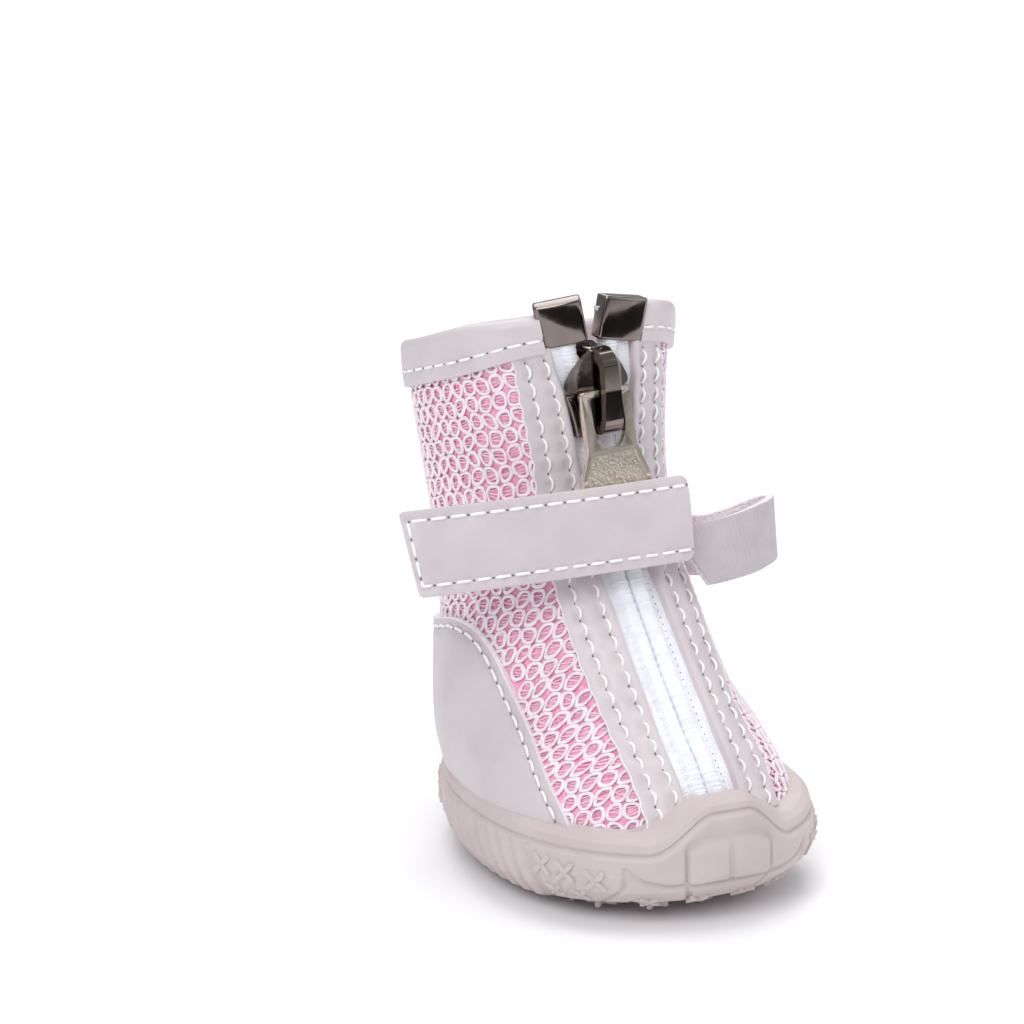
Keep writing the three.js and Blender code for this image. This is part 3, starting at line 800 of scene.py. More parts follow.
@dataclass
class Upper:
    """The bootie's cloth: spacer mesh, the net over it, and the leatherette panels sewn on.

    Args:
        cloth_out, net_out: how far mesh and net stand off the last.
        net_pitch, net_row: width and height of one net cell.
        yarn: half the thickness of its yarn.
        panel_base, panel_thick: how far the panels' backs stand off, and their thickness.
        collar_low: depth of the collar's foot below the rim.
        stitch_pitch: length of one stitch.
        placket_wide: width of a placket's flat cut.
        heel_size: length and width of the heel panel's.
        placket_low, placket_high: heights of a placket's foot and top.
        placket_outer: height and length round from the front centre to each placket's outer edge.
        placket_inner: the same for its folded inner edge.
        heel_top: the heel panel's top edge on each side, angle from the front in degrees and level.
    """

    last: Last
    zip_line: ZipLine
    cloth_out: float = -0.7
    net_out: float = -0.42
    net_pitch: float = 2.12
    net_row: float = 2.3
    yarn: float = 0.24
    panel_base: float = -0.85
    panel_thick: float = 1.4
    collar_low: float = -5.7
    stitch_pitch: float = 2.4
    placket_wide: float = 6.2
    heel_size: tuple[float, float] = (110.0, 18.0)
    placket_low: float = 12.3
    placket_high: float = 66.2
    placket_outer: dict[int, Rows] = field(default_factory=lambda: {
        -1: ((12.0, 9.0), (18.0, 9.35), (22.0, 9.6), (28.0, 9.95), (33.0, 10.1), (38.0, 9.7), (45.0, 9.2),
             (52.0, 9.1), (60.0, 10.4), (67.0, 11.6)),
        1: ((12.0, 10.2), (16.0, 10.6), (20.0, 11.0), (25.0, 11.3), (33.0, 11.2), (38.0, 11.0), (45.0, 10.4),
            (52.0, 10.2), (60.0, 10.4), (67.0, 10.9))})
    placket_inner: dict[int, Rows] = field(default_factory=lambda: {
        -1: ((12.0, 3.5), (20.0, 3.7), (26.0, 3.45), (38.0, 3.5), (44.0, 3.2), (49.0, 3.1), (54.5, 3.7),
             (60.0, 4.75), (63.0, 5.75), (67.0, 6.6)),
        1: ((12.0, 3.8), (16.0, 4.0), (24.0, 4.15), (31.0, 3.9), (38.0, 3.6), (46.0, 3.5), (52.0, 4.0),
            (57.0, 4.6), (61.0, 5.0), (67.0, 5.2))})
    heel_top: dict[int, Rows] = field(default_factory=lambda: {
        -1: ((47.0, 0.95), (50.0, 1.38), (54.8, 1.88), (61.3, 2.6), (67.5, 3.35), (73.0, 4.08), (78.0, 4.5),
             (84.0, 4.76), (91.0, 4.87), (100.0, 4.88), (114.0, 4.74), (135.0, 4.58), (160.0, 4.5),
             (180.0, 4.48)),
        1: ((72.0, 0.95), (74.0, 1.38), (77.0, 1.88), (81.0, 2.6), (85.0, 3.35), (88.5, 4.08), (92.0, 4.5),
            (96.0, 4.76), (101.0, 4.87), (109.0, 4.88), (120.0, 4.74), (138.0, 4.58), (160.0, 4.5),
            (180.0, 4.48))})

    def build(self) -> None:
        """Makes every piece of the upper."""
        self.bootie()
        for side, name in ((-1, "left"), (1, "right")):
            self.net(side, name)
            self.placket(side, name)
        self.heel_panel()
        self.collar()

    def slot_edge(self, side: int, height: Array) -> Array:
        """Length round from the front centre to the slot's edge on one side."""
        return self.zip_line.half(height) + side * self.zip_line.middle(height)

    def bootie(self) -> None:
        """The hollow spacer-mesh body, open at the collar and down the front."""
        bm = sheet(180, 110)
        thick = WALL + self.cloth_out
        thicken(bm, thick)
        for face in bm.faces:
            face.material_index = 1 if face.normal.z < -0.3 else 0
        keep_flat_uv(bm)
        flat = positions(bm)
        level = flat[:, 1] * self.last.top
        height = np.interp(level, self.last.levels, self.last.front_height)
        ends = [sample(self.last.angle_from_front, level / self.last.level_step,
                       (self.slot_edge(side, height) + 0.15) / self.last.wrap_step) for side in (1, -1)]
        angle = ends[0] + (TAU - ends[1] - ends[0]) * flat[:, 0]
        wave = 0.05 * np.sin(flat[:, 1] * 41) * np.sin(flat[:, 0] * 67)
        move_to(bm, self.last.place(angle, level, flat[:, 2] - WALL + wave))
        make_piece(bm, "bootie_mesh", (SPACER, LINING), ("upper",))

    def net(self, side: int, name: str) -> None:
        """One side's net: a yarn ring round each hole, staggered small holes, and filaments across."""
        unit, along, turn = wrapped_tube(5, 18)
        columns = np.arange(0.5, 34) * self.net_pitch * side
        rows = -np.arange(2.2, 34) * self.net_row
        i, j = np.meshgrid(np.arange(len(columns)), np.arange(len(rows)), indexing="ij")
        centres = np.stack([columns[i].ravel(), rows[j].ravel()], 1)
        parity = np.where((i + j).ravel() % 2 == 0, 1.0, -1.0) * side
        keep = self.net_shows(centres)
        centres, parity = centres[keep], parity[keep]
        phase = along[None, :] * TAU
        corner = 3.3 + 1.5 * parity[:, None] * np.sin(2 * phase)
        half_x = self.net_pitch / 2 - self.yarn * 0.86
        half_y = self.net_row / 2 - self.yarn * 0.86
        cosine, sine = np.cos(phase), np.sin(phase)
        reach = (np.abs(cosine / half_x) ** corner + np.abs(sine / half_y) ** corner) ** (-1 / corner)
        ring_x, ring_y = reach * cosine, reach * sine
        grow = np.cos(turn)[None, :] * self.yarn
        slope_x = cosine / half_x
        slope_y = sine / half_y
        size = np.hypot(slope_x, slope_y)
        flat_x = centres[:, :1] + ring_x + grow * slope_x / size
        flat_y = centres[:, 1:] + ring_y + grow * slope_y / size
        under = 0.07 * np.sin(2 * phase + parity[:, None] * 0.8)
        out = self.net_out + under + np.sin(turn)[None, :] * self.yarn * 0.85
        places = self.last.drape_back(self.drawn(np.stack([flat_x, flat_y, out], -1).reshape(-1, 3)))
        yarns = copies(unit, places.reshape(len(centres), -1, 3))
        unit.free()
        pieces = [yarns, self.filaments(centres, half_x, half_y)]
        make_piece(joined(pieces), f"net_{name}", (YARN, FILAMENT), sharp=80)

    def filaments(self, centres: Array, half_x: float, half_y: float) -> BMesh:
        """Two or three fine threads across each hole, a little below the net."""
        unit, along, turn = wrapped_tube(4, 3)
        fine = 0.085
        draws = np.random.default_rng(7).uniform(-1, 1, (len(centres), 3, 3))
        sets = []
        for index, base in enumerate((-0.5, 0.02, 0.5)):
            tilt = 0.3 * draws[:, index, :1]
            level = (base + 0.16 * draws[:, index, 1:2]) * half_y
            x = (along[None, :] * 2 - 1) * half_x * 0.98
            y = level + tilt * (along[None, :] * 2 - 1) + np.cos(turn)[None, :] * fine
            sag = 0.1 * np.sin(math.pi * along)[None, :] + 0.06 * draws[:, index, 2:3]
            out = self.net_out - 0.04 - sag + np.sin(turn)[None, :] * fine
            shape = np.broadcast(x, y, out).shape
            sets.append(np.stack([centres[:, :1] + np.broadcast_to(x, shape),
                                  centres[:, 1:] + np.broadcast_to(y, shape),
                                  np.broadcast_to(out, shape)], -1))
        flat = np.concatenate(sets)
        places = self.last.drape_back(self.drawn(flat.reshape(-1, 3))).reshape(flat.shape)
        bm = copies(unit, places)
        unit.free()
        for face in bm.faces:
            face.material_index = 1
        return bm

    def drawn(self, flat: Array) -> Array:
        """The knit's own unevenness, the same for neighbours so that rings stay side by side."""
        x, y = flat[:, 0], flat[:, 1]
        moved = flat.copy()
        moved[:, 0] += 0.16 * np.sin(y * 1.15 + 1.7 * np.sin(x * 0.31)) + 0.07 * np.sin(x * 2.3 + y * 0.9)
        moved[:, 1] += 0.14 * np.sin(x * 0.95 + 1.3 * np.sin(y * 0.37)) + 0.06 * np.sin(y * 2.6 - x * 1.1)
        return moved

    def net_shows(self, centres: Array) -> Array:
        """Which net cells lie outside the panels, the collar and the sole."""
        angle, level = self.last.unroll(centres[:, 0], centres[:, 1])
        bearing = np.degrees(np.minimum(angle, TAU - angle))
        height = np.interp(level, self.last.levels, self.last.front_height)
        around = sample(self.last.from_front, level / self.last.level_step, bearing * 2)
        side = 1 if centres[0, 0] > 0 else -1
        outer = np.interp(height, *np.array(self.placket_outer[side]).T)
        heel = np.interp(bearing, *np.array(self.heel_top[side]).T)
        in_front = (around > outer - 0.6) & (level > heel - 0.15) & (level > 0.9)
        return in_front & (centres[:, 1] < self.collar_low + 0.9)

    def placket(self, side: int, name: str) -> None:
        """The panel beside the zip, with its folded inner edge and two wavy rows of stitches."""
        tall = self.placket_high - self.placket_low
        bm = slab((18, 230), (self.placket_wide, tall), self.panel_thick, 0.22)
        for face in bm.faces:
            middle = face.calc_center_median().x
            outer = middle > self.placket_wide - 0.2
            face.material_index = 0 if middle < 0.5 else 1 if outer else face.material_index
        keep_flat_uv(bm)
        raw = positions(bm)
        share = raw[:, 0] / self.placket_wide
        height = raw[:, 1] + self.placket_low
        start, end = self.placket_edges(side, height)
        flat = np.stack([start + (end - start) * share, height, raw[:, 2] + self.panel_base], 1)
        top = raw[:, 2] > self.panel_thick * 0.6
        sewing = Sewing()
        for place in (0.24, 0.69):
            line = self.placket_line(side, place)
            flat[top, 2] -= pucker(flat[top, :2], line, self.stitch_pitch, 0.6, 0.34)
            self.sew_front(sewing, line * np.array([side, 1.0]), 0.42)
        fold = np.exp(-((share - 0.1) / 0.09) ** 2)
        pillow = np.abs(np.sin(height / self.stitch_pitch * math.pi)) * np.exp(-((share - 0.47) / 0.22) ** 2)
        flat[top, 2] += (0.26 * fold + 0.1 * pillow)[top]
        flat[top, 2] += 0.05 * (np.sin(height * 1.3) * np.sin(share * 5 + height * 0.4))[top]
        flat[top, 2] -= 0.4 * smoothstep(height, 61.5, 64.5)[top]
        scallop = 0.1 * np.cos(height / self.stitch_pitch * TAU) * smoothstep(share, 0.8, 1.0)
        flat[:, 0] += scallop
        flat[:, 0] *= side
        move_to(bm, self.last.drape_front(flat))
        make_piece(bm, f"placket_{name}", (LEATHERETTE, CUT_EDGE))
        sewing.finish(f"placket_stitches_{name}", "leatherette")

    def placket_line(self, side: int, place: float) -> Array:
        """A stitch line at a share of the placket's width, flat."""
        height = np.linspace(self.placket_low + 0.4, self.placket_high - 1.4, 260)
        start, end = self.placket_edges(side, height)
        return np.stack([start + (end - start) * place, height], 1)

    def placket_edges(self, side: int, height: Array) -> tuple[Array, Array]:
        """Lengths round from the front centre to a placket's inner and outer edge."""
        return (np.interp(height, *np.array(self.placket_inner[side]).T),
                np.interp(height, *np.array(self.placket_outer[side]).T))

    def sew_front(self, sewing: Sewing, line: Array, bulge: float) -> None:
        """Sews a flat line of the front mapping, bowed towards +X on both sides."""
        surface = self.panel_base + self.panel_thick - 0.1
        low = self.last.drape_front(np.column_stack([line, np.full(len(line), surface)]))
        high = self.last.drape_front(np.column_stack([line, np.full(len(line), surface + 1.0)]))
        sewing.row(low, high - low, self.stitch_pitch, -bulge)

    def heel_edge(self, inset: float, count: int = 300) -> Array:
        """The heel panel's top edge as angle in degrees and level, moved down by an inset in millimetres."""
        right, left = (smooth_line(self.heel_top[side], count // 2) for side in (1, -1))
        whole = np.vstack([right, np.column_stack([360 - left[::-1, 0], left[::-1, 1]])[1:]])
        spots = self.last.point(np.radians(whole[:, 0]), whole[:, 1])
        if inset == 0:
            return whole
        run = normalised(np.gradient(spots, axis=0))
        normal = self.last.normal(np.radians(whole[:, 0]), whole[:, 1])
        goal = spots + np.cross(run, normal) * inset
        return self.find(goal, whole)

    def find(self, goal: Array, start: Array) -> Array:
        """Angle and level nearest to points by a few Newton steps from a start."""
        angle, level = np.radians(start[:, 0]), start[:, 1].copy()
        for _ in range(8):
            here = self.last.point(angle, level)
            d_angle = (self.last.point(angle + 0.01, level) - here) / 0.01
            d_level = (self.last.point(angle, level + 0.01) - here) / 0.01
            gap = goal - here
            aa, ab, bb = (d_angle ** 2).sum(1), (d_angle * d_level).sum(1), (d_level ** 2).sum(1)
            ga, gb = (gap * d_angle).sum(1), (gap * d_level).sum(1)
            det = aa * bb - ab ** 2
            angle = angle + (ga * bb - gb * ab) / det
            level = np.clip(level + (gb * aa - ga * ab) / det, 0.0, self.last.top)
        return np.column_stack([np.degrees(angle), level])

    def heel_panel(self) -> None:
        """The panel that wraps the heel and runs forward low along each side."""
        edge = self.heel_edge(0.0)
        start, end = edge[0, 0], edge[-1, 0]
        bm = slab((230, 34), self.heel_size, self.panel_thick, 0.12)
        for face in bm.faces:
            if face.calc_center_median().y > self.heel_size[1] - 0.25:
                face.material_index = 1
        keep_flat_uv(bm)
        raw = positions(bm)
        share, rise = (raw[:, :2] / self.heel_size).T
        angle = start + (end - start) * share
        top = np.interp(angle, edge[:, 0], edge[:, 1])
        base = 0.9
        level = base + (top - base) * rise
        out = raw[:, 2] + self.panel_base
        upper = raw[:, 2] > self.panel_thick * 0.6
        seam = self.heel_edge(1.35)
        spots = self.last.place(np.radians(angle), level, np.zeros(len(angle)))
        line = self.last.point(np.radians(seam[:, 0]), seam[:, 1])
        near = np.sqrt(((spots[:, None, :] - line[None, ::3, :]) ** 2).sum(-1)).min(1)
        out = out - np.where(upper, 0.26 * np.exp(-(near / 0.6) ** 2), 0)
        out = out + np.where(upper, 0.07 * np.sin(np.radians(angle) * 5 + level * 1.3), 0)
        move_to(bm, self.last.place(np.radians(angle), level, out))
        make_piece(bm, "heel_panel", (LEATHERETTE, CUT_EDGE))
        sewing = Sewing()
        inside = seam[(seam[:, 1] > 1.25)]
        surface = self.panel_base + self.panel_thick - 0.06
        radians = np.radians(inside[:, 0])
        sewing.row(self.last.place(radians, inside[:, 1], np.full(len(inside), surface)),
                   self.last.normal(radians, inside[:, 1]), self.stitch_pitch, 0.3)
        sewing.finish("heel_stitches", "leatherette")

    def collar(self) -> None:
        """The binding folded over the rim, from one clip round the heel to the other."""
        profile = ((-0.85, self.collar_low), (0.55, self.collar_low), (0.58, 0.35), (-2.75, 0.35),
                   (-2.75, -4.6), (-2.0, -4.6), (-1.95, -0.5), (-0.85, -0.5))
        bm = bmesh.new()
        loop = [bm.verts.new((0.0, depth, out)) for out, depth in profile]
        bm.faces.new(loop)
        bm.verts.ensure_lookup_table()
        round_these = [bm.verts[2], bm.verts[3]]
        round_off(bm, round_these, 0.95, 5, "VERTICES")
        lower = [vert for vert in bm.verts if abs(vert.co.y - self.collar_low) < 1e-4 and vert.co.z > 0.3]
        round_off(bm, lower, 0.28, 3, "VERTICES")
        long_edges = [edge for edge in bm.edges if edge.calc_length() > 2.0]
        bmesh.ops.subdivide_edges(bm, edges=long_edges, cuts=14)
        half_girth = float(self.last.from_front[-1, -1])
        left, right = -(half_girth - 7.7), half_girth - 6.9
        steps = 230
        bmesh.ops.translate(bm, verts=bm.verts, vec=(left, 0, 0))
        bmesh.ops.delete(bm, geom=bm.faces[:], context="FACES_ONLY")
        bmesh.ops.spin(bm, geom=bm.verts[:] + bm.edges[:], cent=(0, 0, 0), axis=(1, 0, 0), angle=0.0,
                       dvec=((right - left) / steps, 0, 0), steps=steps, use_duplicate=False)
        ends = [edge for edge in bm.edges if edge.is_boundary]
        bmesh.ops.holes_fill(bm, edges=ends, sides=0)
        keep_flat_uv(bm)
        flat = positions(bm)
        seam = np.column_stack([np.linspace(left, right, 500), np.full(500, self.collar_low + 1.95)])
        outer = flat[:, 2] > 0.05
        flat[outer, 2] -= pucker(flat[outer, :2], seam, self.stitch_pitch, 0.55, 0.3)
        crown = np.sin(np.clip((flat[:, 1] - self.collar_low) / 6.0, 0, 1) * math.pi)
        flat[outer, 2] += (0.14 * crown + 0.07 * np.sin(flat[:, 0] * 0.8) * crown)[outer]
        flat[:, 1] += 0.12 * np.sin(flat[:, 0] * 0.33) * smoothstep(flat[:, 1], -2.0, 0.0)
        move_to(bm, self.last.drape_back(self.raised(flat, left, right)))
        make_piece(bm, "collar_binding", (LEATHERETTE,))
        sewing = Sewing()
        line = self.raised(np.column_stack([seam, np.full(len(seam), 0.48)]), left, right)
        low = self.last.drape_back(line)
        sewing.row(low, self.last.drape_back(line + np.array([0, 0, 1.0])) - low, self.stitch_pitch, 0.0)
        sewing.finish("collar_stitches", "leatherette")

    def raised(self, flat: Array, left: float, right: float) -> Array:
        """Lifts the binding's foot towards the zip, where it is narrower."""
        moved = flat.copy()
        near = np.minimum(flat[:, 0] - left, right - flat[:, 0])
        foot = smoothstep(-flat[:, 1], 0.5, 4.5)
        moved[:, 1] += (1 - smoothstep(near, 0.0, 14.0)) * foot * 1.15
        return moved


# ---- the zip ----

@dataclass
class Zip:
    """The zip: two taped ridges, the slider with its crown, the pull and the end clips.

    Args:
        bottom, top: heights of the tapes' ends.
        tape_out: how far they stand off the last.
        ridge, ridge_half: height and half width of the ridge over the coil.
        open_from, open_slant, open_most: where the tapes part, how fast and how far.
        slider_height: where the slider sits.
        tab_up, tab_out: the pull's bar above the slider's middle, and in front of it.
        tab_thick, tab_tilt: the pull's thickness and lean.
        clip_rows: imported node, x, z, turn in degrees, width and height of each clip.
    """

    last: Last
    zip_line: ZipLine
    bottom: float = 12.9
    top: float = 70.4
    tape_out: float = -0.78
    ridge: float = 0.95
    ridge_half: float = 1.1
    open_from: float = 61.6
    open_slant: float = 0.5
    open_most: float = 1.75
    slider_height: float = 60.7
    tab_up: float = 0.4
    tab_out: float = 2.3
    tab_thick: float = 1.1
    tab_tilt: float = 0.185
    clip_rows: tuple[tuple[str, float, float, float, float, float], ...] = (
        ("end_clip_left", -4.75, 69.05, 12.0, 6.1, 5.7), ("end_clip_right", 3.7, 68.7, -10.0, 6.5, 5.6))

    def build(self) -> None:
        """Makes every piece of the zip."""
        self.tapes()
        self.slider()
        self.pull_tab()
        for row in self.clip_rows:
            self.clip(*row)

    def tapes(self) -> None:
        """Both tapes, each with its ridge, closed below the slider and parted above it."""
        halves = []
        for side in (-1, 1):
            bm = sheet(24, 620)
            thicken(bm, 1.0)
            for face in bm.faces:
                face.material_index = 0
            raw = positions(bm)
            height = self.bottom + (self.top - self.bottom) * raw[:, 1]
            parted = np.clip(self.open_slant * (height - self.open_from), 0, self.open_most)
            edge = self.zip_line.half(height) + 0.8
            across = parted + 0.02 + (edge - parted) * raw[:, 0]
            wavy = 1 + 0.05 * np.cos(height * TAU / 0.85)
            lay = (across - parted - self.ridge_half - 0.05) / (self.ridge_half * wavy)
            hump = self.ridge * np.clip(1 - np.abs(lay) ** 3, 0, 1) ** 0.6
            rib = 0.034 * np.cos(height * TAU / 0.48) * (0.3 + np.clip(1 - lay ** 4, 0, 1))
            wrinkle = 0.06 * np.sin(height * 1.1 + side) * np.sin(across * 1.7)
            top = raw[:, 2] > 0.5
            out = np.where(top, self.tape_out + hump + rib + wrinkle, self.tape_out - 0.8)
            flat = np.column_stack([side * across, height, out])
            move_to(bm, flat)
            keep_flat_uv(bm)
            move_to(bm, self.zip_line.drape(flat))
            halves.append(bm)
        make_piece(joined(halves), "zip_tapes", (ZIP_TAPE,), ("zip_chain",))
        sewing = Sewing(thread=0.06, crown=0.03, sunk=0.08, gap=0.3, hole=0.6)
        height = np.linspace(self.bottom + 0.5, self.open_from - 6.0, 300)
        line = np.column_stack([np.full(300, 2.8), height, np.full(300, self.tape_out + 0.04)])
        low = self.zip_line.drape(line)
        sewing.row(low, self.zip_line.drape(line + np.array([0, 0, 1.0])) - low, 0.95)
        sewing.finish("zip_stitches", "zip_fabric")

    def plate(self, half: Sequence[tuple[float, float]], low: float, high: float, corner: float,
              edge: float, segments: int = 3) -> BMesh:
        """A flat plate from the right half of its outline, with round corners and rounded rims.

        Args:
            half: right half of the outline, top to bottom.
            low: back face's height.
            high: front face's height.
            corner: radius of the outline's corners.
            edge: radius of the rims.
            segments: faces round each rim.

        Returns:
            The plate.
        """
        bm = bmesh.new()
        points = list(half) + [(-x, y) for x, y in reversed(half)]
        bm.faces.new([bm.verts.new((x, y, low)) for x, y in points])
        round_off(bm, bm.verts[:], corner, 4, "VERTICES", True)
        extruded(bm, (0, 0, high - low))
        round_off(bm, sharp_edges(bm), edge, segments, clamp=True)
        return bm

    def bar(self, low: tuple[float, float, float], high: tuple[float, float, float],
            edge: float) -> BMesh:
        """A block between two corners with rounded edges."""
        bm = bmesh.new()
        bmesh.ops.create_cube(bm, size=1.0)
        size = Vector(high) - Vector(low)
        bmesh.ops.scale(bm, verts=bm.verts, vec=size)
        bmesh.ops.translate(bm, verts=bm.verts, vec=(Vector(low) + Vector(high)) / 2)
        round_off(bm, bm.edges[:], edge, 3)
        return bm

    def slider(self) -> None:
        """The slider: a domed shield, a back plate, the flanges and the crown that holds the pull."""
        shield = self.plate([(0.9, 4.9), (2.0, 4.1), (3.3, 2.5), (4.2, 0.9), (4.35, 0.3), (4.1, -0.15),
                             (3.3, -0.3), (3.2, -5.8)], 0.5, 1.45, 0.35, 0.2)
        for place in (-3.2, -2.4, -1.6, -0.8, 0.0, 0.8, 1.6, 2.4, 3.2):
            bmesh.ops.bisect_plane(shield, geom=shield.verts[:] + shield.edges[:] + shield.faces[:],
                                   plane_co=(place, 0, 0), plane_no=(1, 0, 0))
        domed = positions(shield)
        domed[:, 2] += 0.35 - 0.07 * domed[:, 0] ** 2 * (1 + 0.12 * domed[:, 1].clip(-2, 3))
        domed[:, 0] += 0.3
        move_to(shield, domed)
        back = self.plate([(1.2, 5.4), (2.6, 4.2), (3.4, 1.6), (3.1, -0.8), (3.0, -5.4)], -2.6, -1.95,
                          0.4, 0.15)
        parts = [shield, back, self.bar((-0.6, 3.4, -2.5), (0.6, 4.9, 0.9), 0.15)]
        for side in (-1, 1):
            edges = sorted((side * 2.4, side * 3.4))
            flange = self.bar((edges[0], -6.0, -0.5), (edges[1], -0.5, 1.1), 0.25)
            bmesh.ops.subdivide_edges(flange, edges=[edge for edge in flange.edges if edge.calc_length() > 3],
                                      cuts=8)
            bent = positions(flange)
            bent[:, 0] += side * 1.1 * np.clip((bent[:, 1] + 6.0) / 5.5, 0, 1) ** 1.4
            move_to(flange, bent)
            parts.append(flange)
        parts.append(self.crown())
        whole = joined(parts)
        bmesh.ops.transform(whole, matrix=self.zip_line.matrix(self.slider_height), verts=whole.verts)
        make_piece(whole, "slider_shell", (DARK_NICKEL,), ("zip_slider",), sharp=50)

    def crown(self) -> BMesh:
        """The bridge over the pull's bar: an arched strap that widens to its foot."""
        side_view = ((5.6, 0.8), (5.6, 2.4), (5.05, 3.55), (3.9, 4.3), (0.0, 4.45), (-3.8, 4.15),
                     (-4.9, 3.5), (-5.4, 2.5), (-5.4, 0.8), (-4.4, 0.8), (-4.35, 2.5), (-3.7, 3.1),
                     (0.0, 3.25), (3.2, 3.05), (4.1, 2.3), (4.2, 0.8))
        bm = bmesh.new()
        bm.faces.new([bm.verts.new((-1.25, up, out)) for up, out in side_view])
        round_off(bm, bm.verts[:], 0.5, 4, "VERTICES", True)
        extruded(bm, (2.5, 0, 0))
        round_off(bm, sharp_edges(bm), 0.28, 3, clamp=True)
        shaped = positions(bm)
        shaped[:, 0] *= 0.74 + 0.28 * np.clip((5.0 - shaped[:, 1]) / 9.0, 0, 1)
        shaped[:, 0] += 0.35
        shaped[:, 1] -= 0.4
        move_to(bm, shaped)
        return bm

    def tab_matrix(self) -> Matrix:
        """The pull's frame: origin on its bar, x across, y up along it, z out."""
        slider = self.zip_line.matrix(self.slider_height)
        across, up, out = (slider.col[k].xyz for k in range(3))
        origin = slider.translation + up * self.tab_up + out * self.tab_out
        along = Vector((0, -1, self.tab_tilt)).cross(across).normalized()
        return basis(origin, across, along, across.cross(along))

    def pull_tab(self) -> None:
        """The pull: two arms and a bar round an eye, and a plate with a sunk pebbled field."""
        half = self.tab_thick / 2
        outer = [(3.0, -0.4), (3.45, -0.8), (3.45, -4.4), (3.45, -8.0)]
        inner = [(2.2, -1.3), (2.25, -4.8), (2.0, -6.4), (1.3, -7.45), (0.5, -7.85)]
        field_half = [(3.45, -8.0), (4.0, -9.6), (4.7, -11.4), (4.9, -14.5), (4.2, -17.2), (2.4, -18.4)]
        bm = bmesh.new()

        def chain(points: Sequence[tuple[float, float]]) -> list[BMVert]:
            return [bm.verts.new((x, y, 0.0)) for x, y in points]

        right_out, left_out = chain(outer), chain([(-x, y) for x, y in outer])
        right_in, left_in = chain(inner), chain([(-x, y) for x, y in inner])
        bm.faces.new([right_out[0], right_out[1], right_in[0], left_in[0], left_out[1], left_out[0]][::-1])
        bm.faces.new([right_out[1], right_out[2], right_in[1], right_in[0]][::-1])
        bm.faces.new([left_out[1], left_in[0], left_in[1], left_out[2]][::-1])
        bm.faces.new([right_out[2], right_out[3], right_in[4], right_in[3], right_in[2], right_in[1]][::-1])
        bm.faces.new([left_out[2], left_in[1], left_in[2], left_in[3], left_in[4], left_out[3]][::-1])
        bm.faces.new([right_out[3], left_out[3], left_in[4], right_in[4]][::-1])
        lower_right, lower_left = chain(field_half[1:]), chain([(-x, y) for x, y in field_half[1:]])
        panel = [right_out[3], *lower_right, *reversed(lower_left), left_out[3]]
        bm.faces.new(panel)
        bmesh.ops.recalc_face_normals(bm, faces=bm.faces)
        bmesh.ops.translate(bm, verts=bm.verts, vec=(0, 0, -half))
        extruded(bm, (0, 0, self.tab_thick))
        corners = [edge for edge in sharp_edges(bm, 0.1)
                   if abs(edge.verts[0].co.z - edge.verts[1].co.z) > 0.5]
        round_off(bm, corners, 0.8, 4, clamp=True)
        round_off(bm, sharp_edges(bm), 0.24, 3, clamp=True)
        bm.normal_update()
        fields = [face for face in bm.faces
                  if abs(face.normal.z) > 0.9 and face.calc_center_median().y < -9 and face.calc_area() > 30]
        for face in fields:
            bmesh.ops.inset_region(bm, faces=[face], thickness=0.55, depth=0.0, use_even_offset=True)
            bmesh.ops.inset_region(bm, faces=[face], thickness=0.15, depth=-0.24, use_even_offset=True)
            face.material_index = 1
        shaped = positions(bm)
        behind = (1 - smoothstep(np.abs(shaped[:, 0]), 1.3, 2.5)) * smoothstep(shaped[:, 1], -2.2, -1.4)
        shaped[:, 2] -= 0.75 * behind
        move_to(bm, shaped)
        bmesh.ops.transform(bm, matrix=self.tab_matrix(), verts=bm.verts)
        make_piece(bm, "pull_plate", (PALE_NICKEL, PEBBLED_NICKEL), ("pull_tab",), "pull_tab", 50)

    def clip(self, name: str, x: float, z: float, turn: float, width: float, height: float) -> None:
        """A clip crimped over a tape's end: a hollow shell with a softly crowned lid.

        Args:
            name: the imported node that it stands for.
            x: middle of the clip.
            z: its height.
            turn: turn in the front view in degrees.
            width: its width.
            height: how tall it is.
        """
        deep = 2.3
        middle_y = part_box(name)[0].y / MM + deep / 2
        bm = bmesh.new()
        bmesh.ops.create_cube(bm, size=1.0)
        bmesh.ops.scale(bm, verts=bm.verts, vec=(width, deep, height))
        below = [face for face in bm.faces if face.normal.z < -0.9]
        bmesh.ops.inset_region(bm, faces=below, thickness=0.4, depth=0.0, use_even_offset=True)
        hollow = bmesh.ops.extrude_face_region(bm, geom=below)
        sunk = [item for item in hollow["geom"] if isinstance(item, BMVert)]
        bmesh.ops.translate(bm, verts=sunk, vec=(0, 0, height - 0.9))
        bmesh.ops.delete(bm, geom=[face for face in below if face.is_valid], context="FACES_ONLY")
        bm.normal_update()
        outer = [edge for edge in bm.edges if edge.is_manifold and edge.calc_face_angle(0.0) > 1.2
                 and all(abs(vert.co.x) > width / 2 - 0.01 or abs(vert.co.y) > deep / 2 - 0.01
                         for vert in edge.verts)]
        round_off(bm, outer, 0.5, 4, clamp=True)
        for place in np.linspace(-width / 2 + 0.7, width / 2 - 0.7, 7):
            bmesh.ops.bisect_plane(bm, geom=bm.verts[:] + bm.edges[:] + bm.faces[:],
                                   plane_co=(float(place), 0, 0), plane_no=(1, 0, 0))
        shaped = positions(bm)
        front = shaped[:, 1] < -deep / 2 + 0.6
        swell = 0.3 * (1 - (2 * shaped[:, 0] / width) ** 2).clip(0, 1)
        shaped[front, 1] -= swell[front]
        move_to(bm, shaped)
        yaw = Matrix.Rotation(math.radians(-24 if x < 0 else 4), 4, "Z")
        spin = Matrix.Rotation(math.radians(-turn), 4, "Y")
        matrix = Matrix.Translation((x, middle_y, z)) @ spin @ yaw
